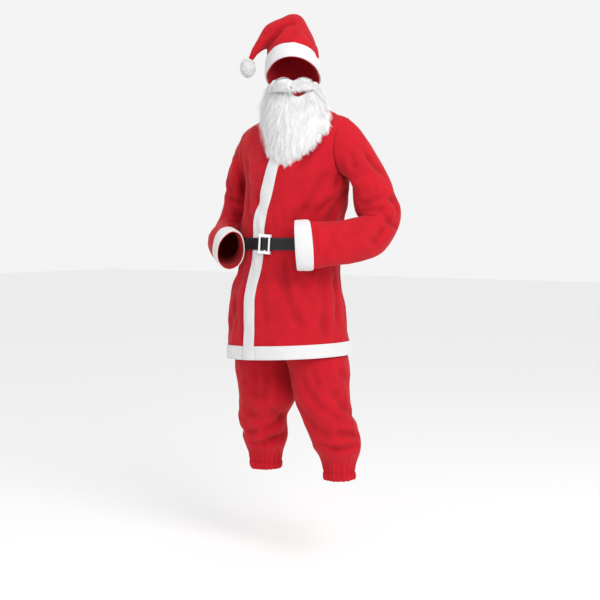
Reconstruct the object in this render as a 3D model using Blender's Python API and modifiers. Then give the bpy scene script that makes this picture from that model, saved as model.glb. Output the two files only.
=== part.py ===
"""A santa suit in the pose in which it is worn: jacket, belt, trousers, hat and false beard, all hollow.

Lengths are metres. The suit faces -Y, the wearer's left is +X, and +Z is up. Tables give heights above the
sole of the foot. The finished parts hang from an empty that brings the wearer's shoulders, which carry the
suit, to the origin. Angles round the body are 0 at the front and grow toward the wearer's left.
"""

import math
from collections import namedtuple

import bmesh
import bpy
import numpy as np
from mathutils import Matrix, Vector

# Driving sizes
HOLD_HEIGHT = 1.50          # the wearer's shoulders above the sole
HEAD_TURN = math.radians(35)  # the head looks this far to the wearer's left
CLOTH = 0.0022              # felted fleece
TRIM = 0.0034               # white trim on top of the cloth
SEAM_GAP = 0.0006           # between two panels at a seam
LAY_GAP = 0.0003            # between a panel and what lies on it
HAIR = 1e-7                 # keeps an angle on its own side of a seam

# Jacket
HEM_HEIGHT = 0.713
HEM_TILT = 0.055            # the hem rises toward the wearer's left
HEM_BAND = 0.045
ARMPIT_HEIGHT = 1.31
BODY_ROWS = 16              # panel rows from the hem to the armpit
YOKE_ROWS = 9               # panel rows from the armpit to the shoulder
NECK_ROW = 5                # the yoke row that meets the front of the neck
SIDE_COLUMNS = 9            # panel columns in a quarter of the body
FRONT_BAND = 0.048
UNDERLAP = 0.034            # how far the right front runs on under the left one
UNDERLAP_DEPTH = 0.0078     # how far it lies below the left front's outside
UNDERLAP_EASE = 0.030       # the stretch in which it gets there
ARMHOLE_HALF_HEIGHT = 0.0935
ARMHOLE_HALF_DEPTH = 0.062
ARMHOLE_DIP = 0.012
SHOULDER_WIDTH = 0.205      # centre line to the top of the armhole
SHOULDER_DROP = 0.020       # the right shoulder is lower
NECK_HALF_WIDTH = 0.076
NECK_SIDE_HEIGHT = 1.545

# Belt and buckle
BELT_HEIGHT = 1.090
BELT_WIDTH = 0.040
BELT_THICK = 0.0024
BELT_CLEAR = 0.0006
BELT_SLACK = 0.0005         # the strap is flat between its points, the jacket under it too
BELT_COLUMNS = 48
BAND_RAMP = (0.004, 0.030)  # where the strap starts to come down beside the front band, and for how far
BAR_RAMP = (0.008, 0.034)   # the same beside the buckle's centre bar
BELT_FADE = 0.045           # folds in the jacket die out this near the belt
BUCKLE_ANGLE = math.radians(3.4)
BUCKLE_WIDTH = 0.046
BUCKLE_HEIGHT = 0.064
BUCKLE_BAR = 0.0075
BUCKLE_THICK = 0.0034
BUCKLE_LEAN = math.radians(4)
BUCKLE_STEP = 0.0010        # the side bars lie this far inside the rails' faces
CENTRE_BAR_THICK = 0.0022
BUCKLE_PLAY = 0.0006
BUCKLE_PASS = 0.003         # room for the strap's edge above and below
BUCKLE_ROUNDING = 0.0004

# Trousers
WAIST_HEIGHT = 1.04
CROTCH_HEIGHT = 0.74
ANKLE_HEIGHT = 0.335
RISE_BLEND = 0.12           # above the crotch, where the seat turns into two legs
HIP_ROWS = 8
LEG_COLUMNS = 7
GATHER = 0.0026
CASING = 0.026
CASING_SWELL = 0.0015
CASING_PLUMP = 0.0006       # the turned-in cloth makes it this much thicker
LEG_HEIGHTS = (0.335, 0.362, 0.388, 0.410, 0.435, 0.465, 0.500, 0.540, 0.580, 0.620, 0.660, 0.700)

# Sleeves and hat
RING = 18                   # points round a sleeve: two for each yoke row
HAT_RING = 20
HAT_ROWS = 17
HAT_BAND_ROWS = 2
HAT_BAND_SWELL = (0.0052, 0.0075, 0.0052)

# Beard, pompom and elastic
MOUSTACHE_RING = 10
MOUSTACHE_ROWS = 17
MOUSTACHE_RIDGE = 0.10
BEARD_COLUMNS = 20
BEARD_ROWS = 14
BEARD_THICK = 0.0146
BEARD_EDGE_THICK = 0.0086
LOCK_RELIEF = 0.0028
LOCK_TIP = 0.009
POMPOM_AT = (-0.163, 0.0, 1.6735)   # to the right as seen from the front of the head, toward the viewer, up
POMPOM_HALF = (0.0250, 0.0265, 0.0320)
LOCK_REACH = 1.42           # a lock's tip from the middle, counted in radii of the ball it stands on
ELASTIC_WIDTH = 0.009
ELASTIC_THICK = 0.0015
ELASTIC_HEIGHT = 1.612
ELASTIC_MIDDLE = -0.01425
ELASTIC_HALF_WIDTH = 0.08125
ELASTIC_ENDS = (0.0304, 0.0217)  # forward of the head's middle, on the viewer's right and left
ELASTIC_REACH = 0.1225
ELASTIC_STEPS = 20

Section = namedtuple("Section", "z centre_x half_width front back")
BodyFold = namedtuple("BodyFold", "angle z end_angle end_z width depth")
ArmRow = namedtuple("ArmRow", "x y z flat_angle thin tall")
ArmFold = namedtuple("ArmFold", "row angle end_row end_angle width depth")
LegRow = namedtuple("LegRow", "z x y half_x half_y")
LegFold = namedtuple("LegFold", "angle z end_angle end_z width depth")
HatRow = namedtuple("HatRow", "inner inner_z outer outer_z half_depth depth tilt")
BeardColumn = namedtuple("BeardColumn", "top top_z top_out mid mid_z mid_out low low_z low_out")
Lobe = namedtuple("Lobe", "across z out half_height half_depth")

JACKET = [
    Section(0.70, -0.0345, 0.2220, 0.187, 0.180),
    Section(0.77, -0.0355, 0.2165, 0.183, 0.175),
    Section(0.83, -0.037, 0.2120, 0.181, 0.171),
    Section(0.87, -0.0375, 0.2090, 0.179, 0.169),
    Section(0.91, -0.040, 0.2065, 0.176, 0.167),
    Section(0.95, -0.0395, 0.1965, 0.169, 0.161),
    Section(0.99, -0.0355, 0.1830, 0.154, 0.153),
    Section(1.03, -0.0325, 0.1762, 0.1462, 0.1455),
    Section(1.060, -0.031, 0.1760, 0.146, 0.145),
    Section(1.120, -0.031, 0.1760, 0.146, 0.145),
    Section(1.160, -0.024, 0.1800, 0.148, 0.148),
    Section(1.236, -0.006, 0.1870, 0.148, 0.150),
    Section(1.310, 0.000, 0.1900, 0.142, 0.146),
]
# Middle of the front band: height, angle round the body in degrees
FRONT_BAND_LINE = [(0.70, -8.0), (0.90, -8.0), (1.03, -8.2), (1.13, -6.6), (1.19, -6.6), (1.25, -5.5),
                   (1.30, -2.2), (1.364, 2.0), (1.47, 4.0)]
FRONT_NECK = (0.098, 1.465)   # depth and height of the middle of the neckline
BACK_NECK = (0.074, 1.535)

BODY_FOLDS = [
    BodyFold(75, 1.405, 24, 1.235, 0.026, -0.007),
    BodyFold(66, 1.375, 40, 1.270, 0.022, 0.004),
    BodyFold(80, 1.245, 52, 1.180, 0.021, -0.007),
    BodyFold(38, 1.340, 12, 1.200, 0.026, -0.004),
    BodyFold(-58, 1.390, -30, 1.220, 0.026, -0.006),
    BodyFold(-80, 1.245, -48, 1.180, 0.021, -0.006),
    BodyFold(18, 1.000, 46, 0.800, 0.028, -0.007),
    BodyFold(4, 0.990, 14, 0.790, 0.024, 0.004),
    BodyFold(88, 0.960, 80, 0.770, 0.026, -0.008),
    BodyFold(62, 1.010, 68, 0.850, 0.024, 0.005),
    BodyFold(-42, 1.000, -36, 0.800, 0.030, -0.006),
    BodyFold(-74, 1.010, -80, 0.820, 0.028, -0.007),
    BodyFold(118, 1.010, 124, 0.790, 0.030, -0.008),
    BodyFold(150, 1.000, 146, 0.840, 0.030, 0.006),
    BodyFold(176, 1.010, 182, 0.800, 0.032, -0.008),
    BodyFold(214, 1.000, 208, 0.850, 0.030, 0.006),
    BodyFold(240, 1.010, 236, 0.790, 0.030, -0.008),
    BodyFold(104, 1.350, 140, 1.200, 0.028, -0.008),
    BodyFold(256, 1.340, 222, 1.190, 0.028, -0.008),
    BodyFold(160, 1.300, 168, 1.160, 0.032, -0.005),
    BodyFold(200, 1.290, 194, 1.150, 0.032, -0.005),
]

LEFT_ARM = [
    ArmRow(0.198, 0.000, 1.405, 0, 0.062, 0.080),
    ArmRow(0.236, 0.010, 1.366, 0, 0.058, 0.078),
    ArmRow(0.261, 0.027, 1.304, -2, 0.060, 0.075),
    ArmRow(0.2745, 0.044, 1.238, -5, 0.0725, 0.073),
    ArmRow(0.291, 0.056, 1.179, -10, 0.068, 0.071),
    ArmRow(0.288, 0.032, 1.130, -18, 0.066, 0.069),
    ArmRow(0.263, -0.024, 1.105, -26, 0.056, 0.072),
    ArmRow(0.222, -0.090, 1.096, -36, 0.051, 0.074),
    ArmRow(0.161, -0.151, 1.088, -46, 0.050, 0.077),
    ArmRow(0.121, -0.178, 1.085, -56, 0.050, 0.078),
]
RIGHT_ARM = [
    ArmRow(-0.198, 0.000, 1.388, 0, 0.062, 0.080),
    ArmRow(-0.236, 0.016, 1.352, 0, 0.056, 0.077),
    ArmRow(-0.256, 0.036, 1.296, 0, 0.056, 0.073),
    ArmRow(-0.270, 0.053, 1.235, 3, 0.064, 0.070),
    ArmRow(-0.288, 0.056, 1.170, 8, 0.068, 0.069),
    ArmRow(-0.292, 0.020, 1.120, 14, 0.064, 0.069),
    ArmRow(-0.268, -0.048, 1.100, 21, 0.057, 0.069),
    ArmRow(-0.228, -0.112, 1.090, 30, 0.054, 0.068),
    ArmRow(-0.171, -0.162, 1.080, 41, 0.049, 0.067),
    ArmRow(-0.134, -0.187, 1.068, 50, 0.047, 0.067),
]
# How much of the armhole's own outline is left in each of the sleeve's first rings
ARMHOLE_SHARE = [1.0, 0.80, 0.55, 0.28, 0.10]
# Angles run round the sleeve from its underside: 90 is the side toward the body's back on the left sleeve
ARM_FOLDS = [
    ArmFold(3.4, 40, 4.6, 300, 0.014, -0.008),
    ArmFold(4.4, 20, 5.0, 330, 0.016, -0.004),
    ArmFold(5.2, 60, 5.6, 330, 0.016, -0.004),
    ArmFold(1.2, 300, 2.8, 345, 0.016, -0.006),
    ArmFold(2.4, 200, 3.8, 240, 0.016, -0.005),
    ArmFold(5.6, 180, 6.6, 150, 0.015, -0.005),
    ArmFold(6.4, 270, 7.2, 300, 0.015, -0.004),
]

HIPS = [
    Section(1.04, -0.033, 0.150, 0.118, 0.118),
    Section(1.00, -0.034, 0.158, 0.125, 0.129),
    Section(0.95, -0.035, 0.172, 0.138, 0.145),
    Section(0.90, -0.035, 0.183, 0.149, 0.1564),
    Section(0.85, -0.034, 0.194, 0.157, 0.160),
    Section(0.80, -0.033, 0.201, 0.162, 0.162),
    Section(0.74, -0.033, 0.206, 0.162, 0.158),
]
LEFT_LEG = [
    LegRow(0.740, 0.0700, 0.000, 0.1030, 0.115),
    LegRow(0.700, 0.0820, 0.000, 0.1060, 0.108),
    LegRow(0.660, 0.0960, 0.000, 0.1065, 0.102),
    LegRow(0.600, 0.0920, 0.000, 0.0990, 0.098),
    LegRow(0.550, 0.1080, 0.003, 0.0930, 0.093),
    LegRow(0.500, 0.1240, 0.008, 0.0890, 0.090),
    LegRow(0.450, 0.1450, 0.012, 0.0880, 0.088),
    LegRow(0.420, 0.1530, 0.014, 0.0840, 0.085),
    LegRow(0.400, 0.1590, 0.016, 0.0760, 0.077),
    LegRow(0.380, 0.1620, 0.016, 0.0640, 0.066),
    LegRow(0.360, 0.1620, 0.016, 0.0570, 0.059),
    LegRow(0.335, 0.1620, 0.016, 0.0540, 0.056),
]
RIGHT_LEG = [
    LegRow(0.740, -0.1360, 0.000, 0.1030, 0.115),
    LegRow(0.700, -0.1415, 0.002, 0.1035, 0.108),
    LegRow(0.660, -0.1430, 0.004, 0.1070, 0.103),
    LegRow(0.600, -0.1325, 0.008, 0.1095, 0.100),
    LegRow(0.550, -0.1310, 0.010, 0.1080, 0.096),
    LegRow(0.500, -0.1570, 0.015, 0.0850, 0.087),
    LegRow(0.455, -0.1550, 0.022, 0.0860, 0.086),
    LegRow(0.420, -0.1510, 0.026, 0.0800, 0.082),
    LegRow(0.392, -0.1515, 0.028, 0.0740, 0.075),
    LegRow(0.375, -0.1515, 0.028, 0.0640, 0.066),
    LegRow(0.360, -0.1515, 0.028, 0.0570, 0.059),
    LegRow(0.335, -0.1515, 0.028, 0.0540, 0.056),
]
# Angles run round the leg: 0 at the front, 90 on its outer side
LEG_FOLDS = [
    LegFold(-50, 0.620, 60, 0.598, 0.016, -0.006),
    LegFold(70, 0.640, 120, 0.585, 0.018, -0.009),
    LegFold(-40, 0.505, 40, 0.480, 0.018, 0.006),
    LegFold(-70, 0.450, 0, 0.425, 0.014, -0.006),
    LegFold(0, 0.440, 56, 0.452, 0.018, -0.006),
    LegFold(120, 0.560, 200, 0.520, 0.020, -0.007),
    LegFold(150, 0.470, 230, 0.440, 0.016, -0.006),
    LegFold(10, 0.700, 20, 0.640, 0.026, -0.005),
]

# Seen from the front of the head: inner is the fold's side, on the viewer's left, and depth is toward them
HAT = [
    HatRow(-0.1025, 1.643, 0.0730, 1.643, 0.110, 0.000, 30),
    HatRow(-0.1025, 1.692, 0.0730, 1.690, 0.108, -0.014, 30),
    HatRow(-0.1022, 1.727, 0.0733, 1.723, 0.099, -0.022, 27),
    HatRow(-0.1012, 1.735, 0.0639, 1.7535, 0.090, -0.028, 22),
    HatRow(-0.1008, 1.740, 0.0504, 1.787, 0.081, -0.032, 16),
    HatRow(-0.1015, 1.742, 0.0336, 1.825, 0.071, -0.033, 10),
    HatRow(-0.1025, 1.742, 0.0101, 1.857, 0.062, -0.030, 6),
    HatRow(-0.1042, 1.741, -0.0282, 1.8545, 0.055, -0.026, 2),
    HatRow(-0.1076, 1.7385, -0.0672, 1.838, 0.049, -0.020, 0),
    HatRow(-0.1126, 1.734, -0.0975, 1.820, 0.042, -0.014, 0),
    HatRow(-0.1210, 1.727, -0.1143, 1.796, 0.034, -0.010, 0),
    HatRow(-0.1287, 1.7185, -0.1300, 1.769, 0.027, -0.006, 0),
    HatRow(-0.1350, 1.712, -0.1450, 1.742, 0.019, -0.003, 0),
    HatRow(-0.1478, 1.6953, -0.1618, 1.7073, 0.010, 0.000, 0),
]

# From the viewer's left ear to the right one: each column's top edge, middle and lower tip
BEARD = [
    BeardColumn(-0.096, 1.620, 0.022, -0.1180, 1.525, 0.045, -0.093, 1.392, 0.106),
    BeardColumn(-0.085, 1.628, 0.060, -0.1000, 1.520, 0.088, -0.075, 1.374, 0.124),
    BeardColumn(-0.060, 1.622, 0.096, -0.0680, 1.510, 0.122, -0.052, 1.361, 0.142),
    BeardColumn(-0.034, 1.600, 0.115, -0.0380, 1.500, 0.140, -0.036, 1.355, 0.152),
    BeardColumn(-0.010, 1.573, 0.122, -0.0100, 1.490, 0.147, -0.013, 1.371, 0.162),
    BeardColumn(0.018, 1.573, 0.120, 0.0220, 1.490, 0.149, 0.013, 1.390, 0.172),
    BeardColumn(0.043, 1.600, 0.108, 0.0550, 1.505, 0.143, 0.040, 1.415, 0.177),
    BeardColumn(0.061, 1.622, 0.075, 0.0800, 1.522, 0.124, 0.066, 1.445, 0.176),
    BeardColumn(0.0685, 1.628, 0.030, 0.0985, 1.535, 0.098, 0.092, 1.475, 0.160),
]
MOUSTACHE = [
    Lobe(-0.084, 1.590, 0.1000, 0.004, 0.003),
    Lobe(-0.070, 1.600, 0.1200, 0.013, 0.007),
    Lobe(-0.050, 1.610, 0.1350, 0.020, 0.010),
    Lobe(-0.028, 1.611, 0.1430, 0.019, 0.011),
    Lobe(-0.013, 1.605, 0.1450, 0.011, 0.009),
    Lobe(0.003, 1.611, 0.1440, 0.018, 0.011),
    Lobe(0.026, 1.614, 0.1370, 0.020, 0.010),
    Lobe(0.045, 1.606, 0.1230, 0.014, 0.007),
    Lobe(0.057, 1.594, 0.1080, 0.004, 0.003),
]

# Materials: colour, metallic, roughness
COLOURS = {
    "red_felt": ((0.52, 0.012, 0.022), 0.0, 0.95),
    "white_fleece": ((0.80, 0.80, 0.82), 0.0, 0.95),
    "white_fibre": ((0.86, 0.86, 0.86), 0.0, 0.90),
    "black_leatherette": ((0.012, 0.012, 0.014), 0.0, 0.38),
    "white_plastic": ((0.78, 0.79, 0.80), 0.0, 0.30),
    "white_elastic": ((0.75, 0.75, 0.74), 0.0, 0.85),
}


def clear_scene():
    """Start from an empty scene."""
    for old in list(bpy.data.objects):
        bpy.data.objects.remove(old, do_unlink=True)


def finish(name):
    """The Principled material of one kind of cloth or plastic."""
    found = bpy.data.materials.get(name)
    if found:
        return found
    colour, metallic, roughness = COLOURS[name]
    made = bpy.data.materials.new(name)
    made.use_nodes = True
    surface = made.node_tree.nodes["Principled BSDF"]
    surface.inputs["Base Color"].default_value = (*colour, 1.0)
    surface.inputs["Metallic"].default_value = metallic
    surface.inputs["Roughness"].default_value = roughness
    made.diffuse_color = (*colour, 1.0)
    return made


# Curves through the tables


def through(rows, at):
    """Values of a smooth curve through the rows; at counts rows from 0 and may lie between two."""
    rows = np.asarray(rows, float)
    at = np.clip(np.atleast_1d(np.asarray(at, float)), 0, len(rows) - 1)
    low = np.minimum(at.astype(int), len(rows) - 2)
    f = (at - low)[:, None]
    padded = np.vstack([2 * rows[0] - rows[1], rows, 2 * rows[-1] - rows[-2]])
    a, b, c, d = (padded[low + k] for k in range(4))
    return 0.5 * (2 * b + (c - a) * f + (2 * a - 5 * b + 4 * c - d) * f**2 + (3 * b - a - 3 * c + d) * f**3)


def at_height(table, height):
    """The row of a table of heights at one height, smoothly between its rows."""
    rows = sorted(table)
    place = np.interp(height, [row.z for row in rows], range(len(rows)))
    return type(rows[0])(*through(rows, place)[0])


def ease(value):
    """0 below 0, 1 above 1, smooth between."""
    value = min(max(value, 0.0), 1.0)
    return value * value * (3 - 2 * value)


def facing_head(across, out, height):
    """A point given as seen by someone who faces the head: to their right, toward them and up."""
    turn, side = math.cos(HEAD_TURN), math.sin(HEAD_TURN)
    return np.array([across * turn + out * side, across * side - out * turn, height])


# Cloth from grids of points: rows run along the piece, columns go round it, and rows x columns turn outward


def key(point):
    """The same for two points that differ only by rounding; the offset keeps round sizes off the limits."""
    return tuple(math.floor(c * 1e5 + 0.37) for c in point)


def shared_normals(grids):
    """A normal for every point, the same in each grid that has the point, so that walls meet in a mitre."""
    total = {}
    corners = ((slice(None, -1), slice(None, -1)), (slice(None, -1), slice(1, None)),
               (slice(1, None), slice(1, None)), (slice(1, None), slice(None, -1)))
    for grid in grids:
        a, b, c, d = (grid[corner] for corner in corners)
        facing = np.cross(c - a, d - b)
        facing /= np.linalg.norm(facing, axis=-1, keepdims=True)
        for quad in (a, b, c, d):
            for point, normal in zip(quad.reshape(-1, 3), facing.reshape(-1, 3)):
                total[key(point)] = total.get(key(point), 0) + normal
    result = []
    for grid in grids:
        sums = np.array([total[key(p)] for p in grid.reshape(-1, 3)])
        result.append((sums / np.linalg.norm(sums, axis=1, keepdims=True)).reshape(grid.shape))
    return result


def trough(points, start, end, width, depth):
    """How far a fold from start to end moves each point along its normal."""
    along = end - start
    share = np.clip((points - start) @ along / (along @ along), 0, 1)
    away = np.linalg.norm(points - start - share[..., None] * along, axis=-1)
    taper = np.sqrt(np.clip(1 - (2 * share - 1) ** 2, 0.15, 1))
    return depth * taper * np.exp(-((away / width) ** 2))


def folded(grids, folds):
    """The grids with every fold pressed in; a fold is a start, an end, a width and a depth."""
    result = []
    for grid, normals in zip(grids, shared_normals(grids)):
        depth = sum((trough(grid, *fold) for fold in folds), np.zeros(grid.shape[:2]))
        depth = depth * (1 - np.exp(-(((grid[..., 2] - BELT_HEIGHT) / BELT_FADE) ** 4)))
        result.append(grid + normals * depth[..., None])
    return result


def trimmed(grid, first_row=False, last_row=False, first_column=False, last_column=False):
    """The grid drawn back by half a seam gap along the edges named."""
    grid = grid.copy()

    def draw_back(edge, inside):
        step = inside - edge
        length = np.linalg.norm(step, axis=-1, keepdims=True)
        return edge + step / np.maximum(length, 1e-9) * SEAM_GAP / 2

    if first_row:
        grid[0] = draw_back(grid[0], grid[1])
    if last_row:
        grid[-1] = draw_back(grid[-1], grid[-2])
    if first_column:
        grid[:, 0] = draw_back(grid[:, 0], grid[:, 1])
    if last_column:
        grid[:, -1] = draw_back(grid[:, -1], grid[:, -2])
    return grid


def sheet_body(name, grids, normals, inner, outer, material, parent):
    """A closed sheet of cloth whose two faces lie inner and outer metres along the normals.

    It is not a Solidify shell because neighbouring panels must share their wall's direction at a seam.
    inner and outer are numbers, or lists with an array for each grid.
    """
    body = bmesh.new()
    pairs = {}

    def pair(point, normal, low, high):
        found = pairs.get(key(point))
        if found is None:
            found = (body.verts.new(point + normal * low), body.verts.new(point + normal * high))
            pairs[key(point)] = found
        return found

    sides = {}
    for number, (grid, normal) in enumerate(zip(grids, normals)):
        low = np.broadcast_to(inner[number] if isinstance(inner, list) else inner, grid.shape[:2])
        high = np.broadcast_to(outer[number] if isinstance(outer, list) else outer, grid.shape[:2])
        rows, columns = grid.shape[:2]
        for row in range(rows - 1):
            for column in range(columns - 1):
                loop = ((row, column), (row, column + 1), (row + 1, column + 1), (row + 1, column))
                corners = [pair(grid[i], normal[i], low[i], high[i]) for i in loop]
                a, b, c, d = (grid[i] for i in loop)
                if np.linalg.norm(a - c) > np.linalg.norm(b - d):
                    corners = corners[1:] + corners[:1]
                for three in (corners[:3], [corners[0], *corners[2:]]):
                    body.faces.new([high_vertex for _, high_vertex in three])
                    body.faces.new([low_vertex for low_vertex, _ in reversed(three)])
                    for first, second in zip(three, three[1:] + three[:1]):
                        if sides.pop((second, first), None) is None:
                            sides[(first, second)] = True
    for (low_a, high_a), (low_b, high_b) in sides:
        if high_a.co.z < high_b.co.z:  # the same diagonal on both sides of a seam
            body.faces.new((high_b, high_a, low_b))
            body.faces.new((high_a, low_a, low_b))
        else:
            body.faces.new((high_b, high_a, low_a))
            body.faces.new((high_b, low_a, low_b))
    return body_object(name, body, material, parent)


def body_object(name, body, material, parent):
    """An object of the part from a bmesh, which is used up."""
    mesh = bpy.data.meshes.new(name)
    body.to_mesh(mesh)
    body.free()
    mesh.materials.append(finish(material))
    mesh.shade_smooth()
    made = bpy.data.objects.new(name, mesh)
    parent.users_collection[0].objects.link(made)
    made.parent = parent
    return made


# Jacket


def jacket_point(angle, height):
    """A point of the jacket below the armpits."""
    row = at_height(JACKET, height)
    depth = row.front if math.cos(angle) > 0 else row.back
    x = row.centre_x + row.half_width * math.sin(angle)
    fade = 1 - ease((height - HEM_HEIGHT) / 0.3)
    return np.array([x, -depth * math.cos(angle), height + HEM_TILT * x * fade])


def yoke_point(side, face, row, share):
    """A point between armpit and shoulder. side is -1 or 1, face -1 for the front, share 0 at the middle."""
    sweep = math.pi * (row / YOKE_ROWS - 0.5)
    rise = row / YOKE_ROWS
    chest = at_height(JACKET, ARMPIT_HEIGHT)
    arm = np.array([
        side * (chest.half_width + (SHOULDER_WIDTH - chest.half_width) * rise - ARMHOLE_DIP * math.cos(sweep)),
        face * ARMHOLE_HALF_DEPTH * math.cos(sweep),
        ARMPIT_HEIGHT + ARMHOLE_HALF_HEIGHT * (1 + math.sin(sweep)) - (SHOULDER_DROP * rise if side < 0 else 0),
    ])
    depth, height = FRONT_NECK if face < 0 else BACK_NECK
    start = chest.front if face < 0 else chest.back
    if row <= NECK_ROW:
        part = row / NECK_ROW
        middle = np.array([0, face * (start + (depth - start) * part**1.5),
                           ARMPIT_HEIGHT + (height - ARMPIT_HEIGHT) * part])
        roundness = 1 - 0.2 * part
    else:
        part = (row - NECK_ROW) / (YOKE_ROWS - NECK_ROW)
        sweep = part * math.pi / 2
        middle = np.array([side * NECK_HALF_WIDTH * math.sin(sweep), face * depth * math.cos(sweep),
                           height + (NECK_SIDE_HEIGHT - height) * (1 - math.cos(sweep))])
        roundness = 0.8 * (1 - part)
    corner = np.array([middle[0], arm[1], 0])
    centre = (middle + arm) / 2
    centre[:2] += roundness * (corner - centre)[:2]
    turn = share * math.pi / 2
    return centre + (middle - centre) * math.cos(turn) + (arm - centre) * math.sin(turn)


def row_heights():
    """Heights of the panel rows from the hem to the armpit; the first two steps are the hem band."""
    lower = [HEM_HEIGHT, HEM_HEIGHT + HEM_BAND / 2]
    return lower + list(np.linspace(HEM_HEIGHT + HEM_BAND, ARMPIT_HEIGHT, BODY_ROWS - 1))


def band_angle(height):
    return math.radians(float(np.interp(height, *zip(*FRONT_BAND_LINE))))


def jacket_row(row):
    """A function from an angle to a point on one row of the jacket, and the row's height at the front."""
    heights = row_heights()
    if row <= BODY_ROWS:
        return (lambda angle: jacket_point(angle, heights[row])), heights[row]
    yoke = row - BODY_ROWS

    def point(angle):
        face = -1 if math.cos(angle) > 0 else 1
        side = 1 if math.sin(angle) > 0 else -1
        from_front = abs(math.atan2(math.sin(angle), math.cos(angle)))
        turn = from_front if face < 0 else math.pi - from_front
        return yoke_point(side, face, yoke, turn / (math.pi / 2))

    part = min(yoke / NECK_ROW, 1)
    return point, ARMPIT_HEIGHT + (FRONT_NECK[1] - ARMPIT_HEIGHT) * part


def left_front_angles(height, above_neck):
    half = FRONT_BAND / 2 / at_height(JACKET, min(height, ARMPIT_HEIGHT)).half_width
    if above_neck:
        return np.linspace(HAIR, math.pi / 2, SIDE_COLUMNS + 1)
    middle = band_angle(height)
    rest = np.linspace(middle + half, math.pi / 2, SIDE_COLUMNS - 1)
    return np.concatenate([[middle - half, middle], rest])


def right_front_angles(height, above_neck):
    """Angles of the right front's columns, and how far below the left front each column lies."""
    if above_neck:
        return np.linspace(-math.pi / 2, -HAIR, SIDE_COLUMNS + 1), np.zeros(SIDE_COLUMNS + 1)
    width = at_height(JACKET, min(height, ARMPIT_HEIGHT)).half_width
    edge = band_angle(height) - FRONT_BAND / 2 / width
    rest = np.linspace(-math.pi / 2, edge - UNDERLAP_EASE / width, SIDE_COLUMNS - 2)
    tucked = edge + np.array([-0.004, UNDERLAP / 2, UNDERLAP]) / width
    depth = np.concatenate([np.zeros(SIDE_COLUMNS - 2), np.ones(3)]) * UNDERLAP_DEPTH
    return np.concatenate([rest, tucked]), depth


def jacket_grids():
    """The jacket's panels as grids, rows from the hem up, columns toward the wearer's left at the front."""
    grids = {name: [] for name in ("left_front", "left_back", "right_back", "right_front")}
    tuck = []
    quarter = np.linspace(HAIR, math.pi / 2 - HAIR, SIDE_COLUMNS + 1)
    for row in range(BODY_ROWS + YOKE_ROWS + 1):
        point, height = jacket_row(row)
        above = row > BODY_ROWS + NECK_ROW
        right_angles, depth = right_front_angles(height, above)
        grids["left_front"].append([point(a) for a in left_front_angles(height, above)])
        grids["right_front"].append([point(a) for a in right_angles])
        grids["left_back"].append([point(math.pi / 2 + a) for a in quarter])
        grids["right_back"].append([point(math.pi + a) for a in quarter])
        tuck.append(depth)
    return {name: np.array(rows) for name, rows in grids.items()}, np.array(tuck)


def armhole(grids, side):
    """The ring of seam points round an armhole, from the armpit."""
    if side > 0:
        back, front = grids["left_back"][BODY_ROWS:, 0], grids["left_front"][BODY_ROWS:, -1]
        return np.vstack([back, front[-2::-1]])
    front, back = grids["right_front"][BODY_ROWS:, 0], grids["right_back"][BODY_ROWS:, -1]
    return np.vstack([front, back[-2::-1]])


def sleeve_grid(arm, ring):
    """A sleeve as a grid: rows from the armhole to the cuff's mouth, columns round from the underside."""
    count = 2 * (len(arm) - 1) + 1
    rows = through(arm, np.linspace(0, len(arm) - 1, count))
    centres = rows[:, :3]
    tangents = np.gradient(centres, axis=0)
    tangents /= np.linalg.norm(tangents, axis=1, keepdims=True)
    under = Vector((0, 0, -1))
    previous = Vector(tangents[0])
    grid = []
    for number, (row, tangent) in enumerate(zip(rows, tangents)):
        along = Vector(tangent)
        under.rotate(previous.rotation_difference(along))
        under = (under - along * under.dot(along)).normalized()
        previous = along
        across = along.cross(under)
        flat = math.radians(row[3])
        thin = Vector((math.cos(flat), math.sin(flat), 0))
        thin = (thin - along * thin.dot(along)).normalized()
        tall = along.cross(thin)
        share = ARMHOLE_SHARE[number] if number < len(ARMHOLE_SHARE) else 0
        points = []
        for column in range(RING + 1):
            angle = 2 * math.pi * column / RING
            way = under * math.cos(angle) + across * math.sin(angle)
            reach = 1 / math.hypot(way.dot(thin) / row[4], way.dot(tall) / row[5])
            plain = row[:3] + np.array(way) * reach
            sewn = ring[column] - centres[0] + row[:3]
            points.append(share * sewn + (1 - share) * plain)
        grid.append(points)
    return np.array(grid)


def sleeve_folds(grid):
    """The creases of one sleeve as starts and ends in space."""
    def spot(row, angle):
        place = through(grid.reshape(len(grid), -1), 2 * row)[0].reshape(-1, 3)
        return through(place, angle / 360 * RING)[0]

    return [(spot(f.row, f.angle), spot(f.end_row, f.end_angle), f.width, f.depth) for f in ARM_FOLDS]


def body_folds():
    """The creases of the jacket's body as starts and ends in space."""
    def spot(angle, height):
        above = max(height - ARMPIT_HEIGHT, 0)
        return jacket_point(math.radians(angle), height - above) + (0, 0, above)

    return [(spot(f.angle, f.z), spot(f.end_angle, f.end_z), f.width, f.depth) for f in BODY_FOLDS]


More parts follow.
